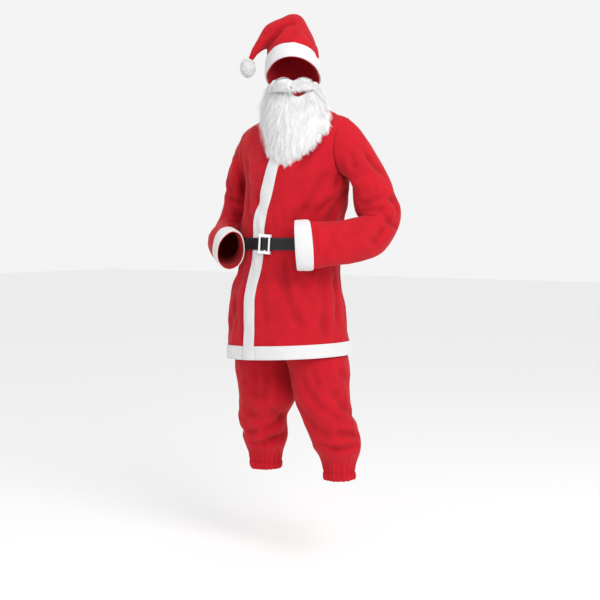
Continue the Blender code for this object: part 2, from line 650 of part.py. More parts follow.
def make_jacket(parent):
    """Fronts, back, sleeves, cuffs and the bands on them."""
    panels, tuck = jacket_grids()
    panels["left_sleeve"] = sleeve_grid(LEFT_ARM, armhole(panels, 1))
    panels["right_sleeve"] = sleeve_grid(RIGHT_ARM, armhole(panels, -1))
    folds = body_folds() + sleeve_folds(panels["left_sleeve"]) + sleeve_folds(panels["right_sleeve"])
    names = list(panels)
    shaped = folded([panels[name] for name in names], folds)
    normals = dict(zip(names, shared_normals(shaped)))
    panels = dict(zip(names, shaped))
    panels["right_front"] = panels["right_front"] - normals["right_front"] * tuck[..., None]

    seams = {
        "left_front": dict(last_row=True, last_column=True),
        "right_front": dict(last_row=True, first_column=True),
        "left_back": dict(last_row=True, first_column=True),
        "right_back": dict(last_row=True, last_column=True),
        "left_sleeve": dict(first_row=True),
        "right_sleeve": dict(first_row=True),
    }
    cut = {name: trimmed(panels[name], **seams[name]) for name in names}
    for name, source in (("jacket_front_left", "left_front"), ("jacket_front_right", "right_front"),
                         ("sleeve_left", "left_sleeve"), ("sleeve_right", "right_sleeve")):
        sheet_body(name, [cut[source]], [normals[source]], -CLOTH, 0, "red_felt", parent)
    backs = ("left_back", "right_back")
    halves, across = [cut[back] for back in backs], [normals[back] for back in backs]
    sheet_body("jacket_back", halves, across, -CLOTH, 0, "red_felt", parent)

    def band(name, pieces):
        grids = [grid for grid, _ in pieces]
        sheet_body(name, grids, [n for _, n in pieces], LAY_GAP, LAY_GAP + TRIM, "white_fleece", parent)

    neck = BODY_ROWS + NECK_ROW + 1
    band("front_band", [(panels["left_front"][:neck, :3], normals["left_front"][:neck, :3])])
    part = trimmed(panels["left_front"][:3, 2:], first_column=True, last_column=True)
    band("hem_band_left", [(part, normals["left_front"][:3, 2:])])
    part = trimmed(panels["right_front"][:3], first_column=True)
    band("hem_band_right", [(part, normals["right_front"][:3])])
    left = trimmed(panels["left_back"][:3], first_column=True)
    right = trimmed(panels["right_back"][:3], last_column=True)
    band("hem_band_back", [(left, normals["left_back"][:3]), (right, normals["right_back"][:3])])
    for side in ("left", "right"):
        sleeve = f"{side}_sleeve"
        band(f"cuff_{side}", [(panels[sleeve][-3:], normals[sleeve][-3:])])


# Belt and buckle


def over_band(angle):
    """How far the strap stands off the jacket where it passes over the front band, up to one there."""
    width = at_height(JACKET, BELT_HEIGHT).half_width
    away = abs(angle - band_angle(BELT_HEIGHT)) * width - FRONT_BAND / 2
    return 1 - ease((away - BAND_RAMP[0]) / BAND_RAMP[1])


def over_bar(angle):
    """The same for the buckle's centre bar."""
    width = at_height(JACKET, BELT_HEIGHT).half_width
    return 1 - ease((abs(angle - BUCKLE_ANGLE) * width - BAR_RAMP[0]) / BAR_RAMP[1])


def belt_offset(angle):
    """The strap's inner face above the jacket's outer face."""
    band = LAY_GAP + TRIM + BELT_CLEAR
    bar = band + CENTRE_BAR_THICK + BUCKLE_PLAY
    on_band = BELT_CLEAR + (band - BELT_CLEAR) * over_band(angle)
    on_bar = BELT_CLEAR + (bar - BELT_CLEAR) * over_bar(angle)
    return max(on_band, on_bar) + BELT_SLACK


def outward(angle):
    """The level direction away from the jacket at the belt."""
    row = at_height(JACKET, BELT_HEIGHT)
    depth = row.front if math.cos(angle) > 0 else row.back
    way = np.array([math.sin(angle) / row.half_width, -math.cos(angle) / depth, 0])
    return way / np.linalg.norm(way)


def make_belt(parent):
    grid, normals, low = [], [], []
    for height in (BELT_HEIGHT - BELT_WIDTH / 2, BELT_HEIGHT, BELT_HEIGHT + BELT_WIDTH / 2):
        angles = [BUCKLE_ANGLE + 2 * math.pi * k / BELT_COLUMNS for k in range(BELT_COLUMNS + 1)]
        turned = [math.atan2(math.sin(a), math.cos(a)) for a in angles]
        at_belt = [jacket_point(a, BELT_HEIGHT) for a in turned]
        grid.append([(p[0], p[1], height) for p in at_belt])
        normals.append([outward(a) for a in turned])
        low.append([belt_offset(a) for a in turned])
    grid, normals, low = np.array(grid), np.array(normals), np.array(low)
    sheet_body("belt", [grid], [normals], [low], [low + BELT_THICK], "black_leatherette", parent)


def make_buckle(parent):
    """A moulded slide buckle: an open frame in front of the strap and a bar behind it."""
    depth_back = LAY_GAP + TRIM + BUCKLE_PLAY
    depth_strap = belt_offset(BUCKLE_ANGLE) + BELT_THICK + BUCKLE_PLAY
    depth_front = depth_strap + BUCKLE_THICK
    half_opening = BUCKLE_WIDTH / 2 - BUCKLE_BAR
    rail = (BUCKLE_WIDTH, depth_front - depth_back, (BUCKLE_HEIGHT - BELT_WIDTH) / 2 - BUCKLE_PASS)
    rail_height = (BUCKLE_HEIGHT - rail[2]) / 2
    side = (BUCKLE_BAR - BUCKLE_STEP, BUCKLE_THICK - BUCKLE_STEP, BUCKLE_HEIGHT - rail[2])
    side_out = depth_strap + side[1] / 2
    side_across = half_opening + side[0] / 2
    boxes = [
        (side, (-side_across, side_out, 0)),
        (side, (side_across, side_out, 0)),
        (rail, (0, (depth_front + depth_back) / 2, rail_height)),
        (rail, (0, (depth_front + depth_back) / 2, -rail_height)),
        ((BUCKLE_BAR, CENTRE_BAR_THICK, BUCKLE_HEIGHT - rail[2]), (0, depth_back + CENTRE_BAR_THICK / 2, 0)),
    ]
    collection = parent.users_collection[0]
    tools = bpy.data.collections.new("buckle_bars")
    bpy.context.scene.collection.children.link(tools)
    solids = []
    for size, (across, out, up) in boxes:
        cube = bmesh.new()
        bmesh.ops.create_cube(cube, size=1, matrix=Matrix.Diagonal((*size, 1)))
        bmesh.ops.translate(cube, verts=cube.verts, vec=(across, -out, up))
        mesh = bpy.data.meshes.new("bar")
        cube.to_mesh(mesh)
        cube.free()
        solids.append(bpy.data.objects.new("bar", mesh))
    buckle = solids[0]
    buckle.name = "buckle"
    buckle.data.materials.append(finish("white_plastic"))
    collection.objects.link(buckle)
    for bar in solids[1:]:
        tools.objects.link(bar)
        bar.hide_render = True
        bar.display_type = "WIRE"
        join = buckle.modifiers.new("join", "BOOLEAN")
        join.operation = "UNION"
        join.object = bar
    rounding = buckle.modifiers.new("rounding", "BEVEL")
    rounding.width = BUCKLE_ROUNDING
    rounding.segments = 1
    rounding.limit_method = "ANGLE"
    at = jacket_point(BUCKLE_ANGLE, BELT_HEIGHT)
    way = outward(BUCKLE_ANGLE)
    turn = math.atan2(way[0], -way[1])
    placed = Matrix.Translation((at[0], at[1], BELT_HEIGHT)) @ Matrix.Rotation(turn, 4, "Z")
    placed = placed @ Matrix.Rotation(BUCKLE_LEAN, 4, "Y")
    for solid in solids:
        solid.parent = parent
        solid.matrix_local = placed


# Trousers


def trouser_rows():
    """Heights from the ankle up."""
    return list(LEG_HEIGHTS) + list(np.linspace(CROTCH_HEIGHT, WAIST_HEIGHT, HIP_ROWS + 1))


def leg_curve(leg, side, face, height, share):
    row = at_height(leg, height)
    turn = share * math.pi
    x = row.x - side * row.half_x * math.cos(turn)
    return np.array([x, row.y + face * row.half_y * math.sin(turn), height])


def hip_curve(side, face, height, share):
    row = at_height(HIPS, height)
    depth = row.front if face < 0 else row.back
    turn = share * math.pi / 2
    x = row.centre_x + side * row.half_width * math.sin(turn)
    return np.array([x, face * depth * math.cos(turn), height])


def gather_at(height):
    """The height of the gathers that the elastic makes at the ankle and the waist."""
    ankle = 1 - ease((height - ANKLE_HEIGHT) / 0.10)
    waist = 1 - ease((WAIST_HEIGHT - height) / 0.12)
    return GATHER * max(ankle, waist)


def trouser_grid(side, face):
    """One trouser panel, rows from the ankle up, columns from the inner seam to the side seam."""
    leg = LEFT_LEG if side > 0 else RIGHT_LEG
    grid = []
    for height in trouser_rows():
        points = []
        for column in range(LEG_COLUMNS + 1):
            share = column / LEG_COLUMNS
            split = ease((CROTCH_HEIGHT + RISE_BLEND - height) / RISE_BLEND)
            point = np.zeros(3)
            if split > 0:
                point += split * leg_curve(leg, side, face, min(height, CROTCH_HEIGHT), share)
            if split < 1:
                point += (1 - split) * hip_curve(side, face, height, share)
            point[2] = height
            middle = np.array([at_height(leg, min(height, CROTCH_HEIGHT)).x, 0, height])
            if split == 0:
                middle[0] = at_height(HIPS, height).centre_x
            way = point - middle
            way /= np.linalg.norm(way)
            points.append(point + way * gather_at(height) * (-1) ** column)
        grid.append(points)
    grid = np.array(grid)
    return grid if side * face < 0 else grid[:, ::-1]


def leg_folds():
    """The creases of both legs, mirrored in plan, as starts and ends in space."""
    result = []
    for side, leg in ((1, LEFT_LEG), (-1, RIGHT_LEG)):
        def spot(angle, height):
            row = at_height(leg, height)
            turn = math.radians(angle)
            x = row.x + side * row.half_x * math.sin(turn)
            return np.array([x, row.y - row.half_y * math.cos(turn), height])

        result += [(spot(f.angle, f.z), spot(f.end_angle, f.end_z), f.width, f.depth) for f in LEG_FOLDS]
    return result


def casing(name, loop, heights, parent):
    """A gathered casing on the edge of a trouser loop, at the heights given."""
    middle = loop[:-1].mean(axis=0)
    rows = []
    for height, swell in zip(heights, (0, CASING_SWELL, 0)):
        spread = loop.copy()
        spread[:, 2] = height
        flat = (loop - middle) * (1, 1, 0)
        spread[:, :2] += (flat / np.linalg.norm(flat, axis=1, keepdims=True))[:, :2] * swell
        rows.append(spread)
    grid = np.array(rows)
    normals = shared_normals([grid])
    sheet_body(name, [grid], normals, -CLOTH, CASING_PLUMP, "red_felt", parent)


def make_trousers(parent):
    names, grids = [], []
    for side, side_name in ((1, "left"), (-1, "right")):
        for face, face_name in ((-1, "front"), (1, "back")):
            names.append(f"trouser_{side_name}_{face_name}")
            grids.append(trouser_grid(side, face))
    grids = folded(grids, leg_folds())
    normals = shared_normals(grids)
    panels = dict(zip(names, grids))
    for name, grid, normal in zip(names, grids, normals):
        cut = trimmed(grid, first_column=True, last_column=True)
        sheet_body(name, [cut], [normal], -CLOTH, 0, "red_felt", parent)

    def loop(row, pieces):
        joined = [panels[name][row] for name in pieces]
        return np.vstack([joined[0]] + [part[1:] for part in joined[1:]])

    order = ("trouser_left_front", "trouser_left_back")
    ankle_steps = (ANKLE_HEIGHT - CASING, ANKLE_HEIGHT - CASING / 2, ANKLE_HEIGHT - SEAM_GAP)
    casing("ankle_casing_left", loop(0, order), ankle_steps, parent)
    order = ("trouser_right_back", "trouser_right_front")
    casing("ankle_casing_right", loop(0, order), ankle_steps, parent)
    order = ("trouser_left_front", "trouser_left_back", "trouser_right_back", "trouser_right_front")
    waist_steps = (WAIST_HEIGHT + SEAM_GAP, WAIST_HEIGHT + CASING / 2, WAIST_HEIGHT + CASING)
    casing("waistband", loop(-1, order), waist_steps, parent)


# Hat


def make_hat(parent):
    """The crown bends over to the wearer's right; the band lies on its lower rows."""
    at = np.concatenate([[0, 0.5], np.linspace(1, len(HAT) - 1, HAT_ROWS - 1)])
    grid = []
    for row in (HatRow(*values) for values in through(HAT, at)):
        middle = np.array([(row.inner + row.outer) / 2, row.depth, (row.inner_z + row.outer_z) / 2])
        across = np.array([(row.outer - row.inner) / 2, 0, (row.outer_z - row.inner_z) / 2])
        tilt = math.radians(row.tilt)
        toward = row.half_depth * np.array([0, math.cos(tilt), math.sin(tilt)])
        points = []
        for column in range(HAT_RING + 1):
            turn = 2 * math.pi * column / HAT_RING
            points.append(facing_head(*(middle + across * math.cos(turn) - toward * math.sin(turn))))
        grid.append(points)
    grid = np.array(grid)
    normals = shared_normals([grid])
    sheet_body("hat_crown", [grid], normals, -CLOTH, 0, "red_felt", parent)
    rows = HAT_BAND_ROWS + 1
    swell = np.array(HAT_BAND_SWELL)[:, None] * np.ones(HAT_RING + 1)
    sheet_body("hat_band", [grid[:rows]], [normals[0][:rows]], LAY_GAP, [swell], "white_fleece", parent)


def make_pompom(parent):
    """A ball of short locks that stand apart on a small core."""
    body = bmesh.new()
    bmesh.ops.create_icosphere(body, subdivisions=2, radius=1)
    faces = list(body.faces)
    bmesh.ops.inset_individual(body, faces=faces, thickness=0.05)
    for number, face in enumerate(faces):
        way = face.calc_center_median().normalized()
        tip = bmesh.ops.poke(body, faces=[face])["verts"][0]
        tip.co = way * LOCK_REACH * (0.95 + 0.05 * math.sin(2.4 * number))
    shape = Matrix.Diagonal((*(half / LOCK_REACH for half in POMPOM_HALF), 1))
    bmesh.ops.transform(body, matrix=shape, verts=body.verts)
    made = body_object("hat_pompom", body, "white_fibre", parent)
    made.location = facing_head(*POMPOM_AT)
    made.rotation_euler = (0, 0, HEAD_TURN)


# Beard


def beard_grid():
    """The beard's front as a grid, rows from the tips up, columns from the viewer's left to right."""
    grid = []
    at = np.linspace(0, len(BEARD) - 1, BEARD_COLUMNS + 1)
    columns = [BeardColumn(*values) for values in through(BEARD, at)]
    for row in range(BEARD_ROWS + 1):
        share = row / BEARD_ROWS
        points = []
        for number, column in enumerate(columns):
            tip = LOCK_TIP * (number % 2)
            ends = np.array([
                (column.low, column.low_out, column.low_z - tip),
                (column.mid, column.mid_out, column.mid_z),
                (column.top, column.top_out, column.top_z),
            ])
            points.append(facing_head(*through(ends, 2 * share)[0]))
        grid.append(points)
    return np.array(grid)


def make_beard(parent):
    grid = beard_grid()
    normals = shared_normals([grid])
    rows, columns = grid.shape[:2]
    up, over = np.mgrid[0:rows, 0:columns]
    waves = 0.65 + 0.35 * np.sin(0.9 * up + 1.7 * over)
    relief = LOCK_RELIEF * np.where(over % 2, -1, 1) * waves
    edge = np.minimum(np.minimum(over, columns - 1 - over) / 3, np.minimum(up, rows - 1 - up) / 2)
    edge = np.clip(edge, 0, 1)
    thick = BEARD_EDGE_THICK + (BEARD_THICK - BEARD_EDGE_THICK) * edge
    sheet_body("beard", [grid], normals, [-thick], [relief], "white_fibre", parent)


def make_moustache(parent):
    """Two drooping lobes that meet under the nose, above the mouth opening."""
    body = bmesh.new()
    rings = []
    at = np.linspace(0, len(MOUSTACHE) - 1, MOUSTACHE_ROWS)
    for lobe in (Lobe(*row) for row in through(MOUSTACHE, at)):
        ring = []
        for k in range(MOUSTACHE_RING):
            turn = 2 * math.pi * k / MOUSTACHE_RING
            ridge = 1 + MOUSTACHE_RIDGE * (-1) ** k
            out = lobe.out + lobe.half_depth * math.cos(turn) * ridge
            height = lobe.z + lobe.half_height * math.sin(turn) * ridge
            ring.append(body.verts.new(facing_head(lobe.across, out, height)))
        rings.append(ring)
    for first, second in zip(rings, rings[1:]):
        for k in range(MOUSTACHE_RING):
            after = (k + 1) % MOUSTACHE_RING
            body.faces.new((first[k], first[after], second[after], second[k]))
    body.faces.new(rings[0])
    body.faces.new(list(reversed(rings[-1])))
    bmesh.ops.recalc_face_normals(body, faces=body.faces)
    return body_object("moustache", body, "white_fibre", parent)


def make_elastic(parent):
    """The strap from ear to ear round the back of the head."""
    grid = []
    for height in (-ELASTIC_WIDTH / 2, ELASTIC_WIDTH / 2):
        points = []
        for k in range(ELASTIC_STEPS + 1):
            turn = math.pi * k / ELASTIC_STEPS
            across = ELASTIC_MIDDLE + ELASTIC_HALF_WIDTH * math.cos(turn)
            out = float(np.interp(k, (0, ELASTIC_STEPS), ELASTIC_ENDS)) - ELASTIC_REACH * math.sin(turn)
            points.append(facing_head(across, out, ELASTIC_HEIGHT + height))
        grid.append(points)
    grid = np.array(grid)
    normals = shared_normals([grid])
    sheet_body("beard_elastic", [grid], normals, -ELASTIC_THICK, 0, "white_elastic", parent)


def main():
    clear_scene()
    collection = bpy.data.collections.new("santa_suit")
    bpy.context.scene.collection.children.link(collection)
    hold = bpy.data.objects.new("hold", None)
    hold.location = (0, 0, -HOLD_HEIGHT)
    collection.objects.link(hold)
    make_jacket(hold)
    make_belt(hold)
    make_buckle(hold)
    make_trousers(hold)
    make_hat(hold)
    make_pompom(hold)
    make_beard(hold)
    make_moustache(hold)
    make_elastic(hold)


main()
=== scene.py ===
"""Looks of a santa suit as worn: red felt jacket, trousers and hat, white fleece trims, belt and beard.

Lengths are metres. The suit faces -Y, its left side is +X, and +Z is up. Each cloth piece starts from the
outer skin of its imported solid, which is made finer, creased and given the cloth's thickness.
"""

import math
from collections import namedtuple

import bmesh
import bpy
import numpy as np
from bpy.props import FloatProperty, FloatVectorProperty, IntProperty, PointerProperty
from mathutils import Matrix, Vector
from mathutils.bvhtree import BVHTree
from mathutils.kdtree import KDTree


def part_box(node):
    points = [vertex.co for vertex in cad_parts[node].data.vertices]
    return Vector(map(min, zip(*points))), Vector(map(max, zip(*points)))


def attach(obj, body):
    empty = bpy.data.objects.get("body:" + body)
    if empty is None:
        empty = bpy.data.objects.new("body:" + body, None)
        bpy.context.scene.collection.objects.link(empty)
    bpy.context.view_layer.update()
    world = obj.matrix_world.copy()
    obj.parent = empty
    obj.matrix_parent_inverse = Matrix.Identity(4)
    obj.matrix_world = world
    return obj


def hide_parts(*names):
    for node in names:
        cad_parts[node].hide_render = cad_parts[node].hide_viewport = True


bl_info = {
    "name": "Santa Suit",
    "version": (1, 0, 0),
    "blender": (4, 5, 0),
    "location": "3D View > Sidebar > Santa Suit",
    "description": "Cloth, trims, belt, hat and beard of a santa suit over its packed solids",
    "category": "Add Mesh",
}

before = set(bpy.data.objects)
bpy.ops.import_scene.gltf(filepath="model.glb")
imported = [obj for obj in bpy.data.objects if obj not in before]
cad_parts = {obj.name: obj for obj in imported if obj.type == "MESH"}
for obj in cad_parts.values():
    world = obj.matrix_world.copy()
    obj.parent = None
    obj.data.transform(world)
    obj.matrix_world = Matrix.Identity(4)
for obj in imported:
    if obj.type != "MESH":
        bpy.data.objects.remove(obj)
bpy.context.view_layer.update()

# Cloth
FELT_THICK = 0.0022
TRIM_THICK = 0.0034
HAT_BAND_THICK = 0.0049
BELT_THICK = 0.0024
SKIN_ANGLE = math.radians(50)  # a wall's edge is sharper than this, a fold is not
RIM_EDGE = 0.0032  # the faces of a wall's edge have a side shorter than this
SMOOTH_ANGLE = math.radians(60)
BELT_SMOOTH_ANGLE = math.radians(50)
MERGE_DISTANCE = 1e-5
CREASE_LIFT = 0.055  # how far from a crease's line, out of the cloth, it still works
RIDGE_OFFSET = 1.9  # the ridge's place, width and height, as shares of its trough's
RIDGE_WIDTH = 1.4
RIDGE_HEIGHT = 0.45
PAINTED_SHADE_DEPTH = 0.006  # a trough this deep gets the darkest painted shade
SEAM_REACH = 0.0045  # how far from a seam its dip goes
TRIM_REACH = 0.006  # how far from a trim's edge its swelling starts
TRIM_ROLL = 0.003  # how far from a trim's edge its roll goes
BELT_HEIGHT = -0.410  # folds die out here, under the strap
BELT_FADE = 0.045
BELT_ROLL = 0.0007  # how far the strap's edges roll in, and how wide that is
BELT_ROLL_REACH = 0.0018
SEAM_FADE = 0.012  # folds die out this near a seam with another garment piece
SEWN_TO = {"jacket": "sleeve", "sleeve": "jacket", "trouser": "trouser"}
ANKLE = -1.165  # where the leg's cloth meets its casing
ANKLE_TUCK = 0.004  # how far the leg's cloth goes on inside the casing
ANKLE_SINK = 0.0012  # how far in it lies there

# Where elastic or the belt draws the cloth in: the height, how far pleats run, their depth and their number
Gather = namedtuple("Gather", "height reach depth pleats")
ANKLE_GATHER = Gather(ANKLE, 0.045, 0.0030, 22)
WAIST_GATHER = Gather(-0.46, 0.05, 0.0028, 34)
BELT_GATHER = Gather(BELT_HEIGHT, 0.10, 0.0022, 27)
LEG_BACK = 0.02  # how far behind the origin a leg's middle lies
LEG_MIDDLE = {"trouser_left": 0.160, "trouser_right": -0.154}
WAIST_MIDDLE = -0.033
JACKET_MIDDLE = -0.031

# Fibre; the hat and the beard are turned to the suit's left
BEARD_RIGHT = np.array([math.cos(math.radians(35)), math.sin(math.radians(35)), 0])
DOWN = np.array([0.0, 0.0, -1.0])
BEARD_SUNK = (0.003, 0.005)  # how far the backing lies inside its solid, and how much more at its edge
BEARD_BACKING = 0.008
BEARD_BOTTOM = -0.02  # the beard's edge below this is its lower one
MOUSTACHE_MIDDLE = -0.013  # across the beard
MOUSTACHE_SUNK = 0.002
MOUSTACHE_LOWERED = 0.010  # the combed fibre lies this far under the top of its solid
POMPOM_CORE = 0.88  # share of the pompom that its core fills

# Stage; the photo's width, its focal length and how far its middle is shifted, in its own pixels
PHOTO_WIDTH = 600
PHOTO_FOCAL = 1190
PHOTO_SHIFT = 3
SENSOR = 36
CAMERA_AIM = (0, 0, -0.60)
LAMP_AIM = (0, 0, -0.5)
SKY_STRENGTH = 0.90
Lamp = namedtuple("Lamp", "name power size azimuth elevation distance colour")
LAMPS = [
    Lamp("key", 68, 1.6, 62, 28, 3.4, (1.0, 0.98, 0.96)),
    Lamp("fill", 5, 2.4, 10, 15, 3.6, (0.97, 0.98, 1.0)),
    Lamp("top", 5, 2.2, 35, 80, 3.0, (1, 1, 1)),
]

Cut = namedtuple("Cut", "name width length area slot", defaults=["red_felt"])

# The troughs pressed into each garment's cloth, in millimetres: where each starts and ends, its width and
# depth, and how far its middle bows off the straight line. A soft ridge lies beside each.
CREASES = {
    "sleeve_left": [
        ((258, -18, -284), (335, 18, -249), 11, 7, 2),
        ((272, -30, -304), (345, 22, -290), 12, 5, 2),
        ((282, -30, -256), (324, -1, -230), 13, 2.5, 2),
        ((238, -43, -198), (302, -13, -179), 15, 2.5, 3),
        ((191, -21, -186), (232, -14, -246), 14, 3, 2),
        ((345, 39, -255), (357, 63, -313), 12, 5, 2),
        ((341, -3, -351), (317, -36, -415), 12, 5, -3),
        ((287, -49, -338), (275, -101, -414), 17, 2.5, -3),
        ((240, -135, -370), (208, -160, -464), 15, 2, -2),
        ((240, -48, -109), (263, -47, -179), 12, 4, 2),
        ((267, -18, -102), (317, 11, -191), 12, 4, 3),
        ((253, -126, -383), (304, -53, -364), 16, 2, 2),
        ((195, -175, -357), (204, -176, -451), 8, 3, 2),
        ((354, 24, -338), (326, -3, -313), 9, 4, 2),
        ((336, -0, -330), (354, 70, -360), 11, 6, 3),
        ((339, 20, -270), (341, 80, -260), 12, 5, 3),
        ((298, -50, -350), (318, -30, -420), 15, 2.5, 2),
        ((253, -120, -370), (278, -90, -430), 14, 1.5, 2),
        ((274, -20, -120), (325, 40, -200), 12, 4, 3),
        ((300, 112, -370), (240, 101, -330), 11, 5, 2),
        ((280, 113, -240), (230, 84, -300), 11, 4, 2),
    ],
    "sleeve_right": [
        ((-274, -19, -258), (-220, 12, -272), 10, 6, 1),
        ((-270, -8, -310), (-231, 21, -324), 10, 4, 1),
        ((-185, -56, -138), (-221, 2, -258), 10, 5, -2),
        ((-207, -56, -132), (-211, -35, -190), 10, 4, 1),
        ((-269, -31, -179), (-250, -22, -248), 10, 4, 1),
        ((-270, -75, -338), (-229, -38, -351), 9, 4, 1),
        ((-185, -149, -351), (-335, 73, -394), 8, 3, 1),
        ((-249, -19, -93), (-206, -55, -120), 10, 4, 1),
        ((-351, 80, -330), (-349, 0, -360), 11, 6, 3),
        ((-328, 80, -250), (-329, 20, -270), 12, 5, 3),
        ((-328, -40, -360), (-332, -20, -430), 10, 4, 2),
        ((-284, -120, -380), (-286, -100, -450), 9, 3, 2),
        ((-288, 40, -140), (-292, -10, -200), 12, 4, 3),
        ((-294, 106, -230), (-345, 70, -290), 12, 5, 3),
        ((-279, 122, -330), (-348, 78, -370), 12, 5, 3),
        ((-300, -5, -220), (-260, -17, -270), 11, 4, 2),
        ((-270, -84, -340), (-230, 9, -300), 10, 4, 2),
    ],
    "jacket": [
        ((186, -34, -177), (180, -31, -235), 10, 5, 2),
        ((176, -25, -254), (133, -77, -312), 11, 5, 3),
        ((88, 103, -89), (65, -132, -267), 20, 4, 6),
        ((174, -64, -171), (93, -116, -319), 16, 3.5, 5),
        ((148, -83, -75), (70, -129, -197), 16, 3, 4),
        ((117, -105, -284), (62, -128, -351), 14, 3, 3),
        ((18, -140, -488), (122, -118, -709), 18, 5, 5),
        ((89, -110, -513), (168, -53, -722), 20, 4, 5),
        ((-28, -149, -495), (6, -173, -689), 15, 3, 3),
        ((145, 6, -496), (173, -13, -692), 14, 4, 2),
        ((133, -59, -501), (142, -84, -591), 12, 3, 2),
        ((44, -131, -468), (60, -136, -558), 12, 3, 2),
        ((-148, -86, -124), (-70, -136, -282), 14, 4, -3),
        ((-78, -125, -160), (-37, -147, -332), 12, 3, -3),
        ((-187, -80, -508), (-121, -158, -696), 14, 3.5, 2),
        ((-189, -82, -522), (-207, -95, -671), 12, 3, -2),
        ((-98, -126, -265), (-96, -134, -358), 11, 3, -2),
        ((102, -95, -429), (76, -115, -468), 10, 2.5, 1),
        ((184, 20, -220), (138, -50, -360), 14, 5, 5),
        ((139, -40, -500), (162, -70, -720), 16, 4, 4),
        ((133, 50, -480), (170, 60, -740), 18, 5, -4),
        ((83, 126, -160), (127, 78, -340), 15, 5, 4),
        ((160, 79, -120), (60, 133, -300), 18, 6, 6),
        ((-150, 85, -120), (-50, 144, -310), 18, 6, -6),
        ((20, 140, -160), (40, 134, -360), 20, 3.5, 4),
        ((-30, 110, -60), (-20, 146, -220), 18, 3, 3),
        ((100, 95, -460), (130, 107, -700), 18, 5, 4),
        ((30, 136, -470), (20, 169, -740), 20, 5, -4),
        ((-50, 143, -460), (-70, 171, -720), 18, 5, 4),
        ((-110, 131, -470), (-150, 146, -730), 16, 5, -4),
        ((0, 142, -440), (-10, 156, -560), 12, 3, 2),
        ((-90, 133, -300), (-140, 113, -370), 12, 4, 2),
        ((150, 64, -300), (90, 107, -370), 12, 4, 2),
        ((-205, -30, -480), (-237, -50, -730), 17, 5, 4),
        ((-194, 60, -490), (-220, 80, -720), 16, 4, -4),
        ((-184, 30, -220), (-201, -30, -350), 14, 4, 4),
        ((-119, -127, -470), (-168, -132, -700), 16, 4, 3),
        ((-150, -84, -160), (-100, -134, -340), 14, 4, 4),
        ((-180, -85, -500), (-170, -134, -720), 14, 4, 3),
    ],
    "trouser_right": [
        ((-169, -55, -1061), (-121, -53, -1046), 10, 6, 1),
        ((-126, -44, -1096), (-76, 3, -1070), 10, 6, 2),
        ((-110, -48, -1046), (-73, 26, -997), 12, 5, 2),
        ((-203, -53, -1019), (-121, -70, -982), 12, 4, 2),
        ((-158, -88, -860), (-96, -69, -939), 14, 4, 2),
        ((-69, -60, -843), (-98, -67, -953), 14, 4, -3),
        ((-182, -69, -960), (-107, -55, -1010), 13, 3, 2),
        ((-161, -51, -1089), (-101, -28, -1103), 9, 4, 1),
        ((-105, -91, -822), (-113, -81, -912), 12, 3, 1),
        ((-110, 91, -970), (-210, 84, -1010), 14, 6, 4),
        ((-120, 98, -1080), (-190, 96, -1050), 12, 6, 3),
        ((-120, 107, -800), (-160, 99, -920), 14, 4, 4),
        ((-235, 50, -1030), (-182, -50, -1060), 12, 6, 3),
        ((-232, 40, -820), (-228, -10, -940), 14, 5, 4),
        ((-221, 50, -940), (-212, -50, -990), 14, 5, 4),
        ((-77, -50, -960), (-78, 40, -1000), 13, 5, 3),
        ((-108, -40, -1080), (-76, 50, -1060), 11, 5, 2),
    ],
    "trouser_left": [
        ((164, -65, -1085), (234, 19, -1061), 11, 7, 3),
        ((93, -76, -1002), (189, -60, -1034), 14, 4, 4),
        ((189, -60, -1034), (223, 20, -1029), 12, 4, 3),
        ((179, -30, -817), (181, 34, -876), 12, 4, 2),
        ((12, -73, -811), (26, -37, -952), 14, 5, 3),
        ((81, -99, -828), (153, -76, -957), 16, 3.5, 4),
        ((132, -68, -1065), (206, -49, -1080), 9, 4, 1),
        ((140, -81, -931), (207, -16, -999), 13, 4, 3),
        ((170, -55, -885), (202, 4, -956), 13, 4, 3),
        ((46, -72, -927), (131, -79, -1011), 13, 3.5, 3),
        ((124, -92, -806), (141, -81, -878), 12, 3, 2),
        ((200, 40, -980), (80, 84, -1000), 14, 6, 4),
        ((180, 92, -1070), (100, 84, -1050), 12, 6, 3),
        ((60, 93, -840), (120, 92, -950), 14, 4, 4),
        ((188, -60, -1020), (226, 40, -1050), 12, 6, 3),
        ((185, -40, -930), (198, 50, -990), 14, 5, 4),
        ((24, 40, -950), (53, -50, -990), 13, 5, 3),
        ((77, 40, -1080), (84, -40, -1060), 11, 5, 2),
    ],
    "hat_crown": [
        ((-64, -66, 238), (-16, -51, 308), 12, 7, 1),
        ((-24, -54, 300), (14, -23, 320), 11, 6, 1),
        ((-81, -86, 268), (-52, -69, 301), 8, 3, 1),
        ((15, -83, 241), (26, -32, 292), 9, 2.5, 1),
        ((-118, -73, 209), (-85, -59, 246), 7, 3, 1),
        ((36, -11, 294), (66, 4, 241), 9, 2.5, 1),
        ((50, 53, 140), (-20, 94, 220), 12, 4, 3),
        ((-80, 75, 160), (-108, 33, 260), 12, 4, 3),
        ((73, 13, 170), (28, 35, 300), 11, 3, 3),
        ((-79, 80, 200), (-112, 7, 270), 11, 4, 2),
        ((50, 47, 240), (-13, 57, 330), 10, 3, 2),
    ],
}

# Broad unevenness of all the cloth: wave length and height
WAVES = [(0.23, 0.0016), (0.15, 0.0014), (0.095, 0.0011), (0.06, 0.0008), (0.038, 0.0005)]

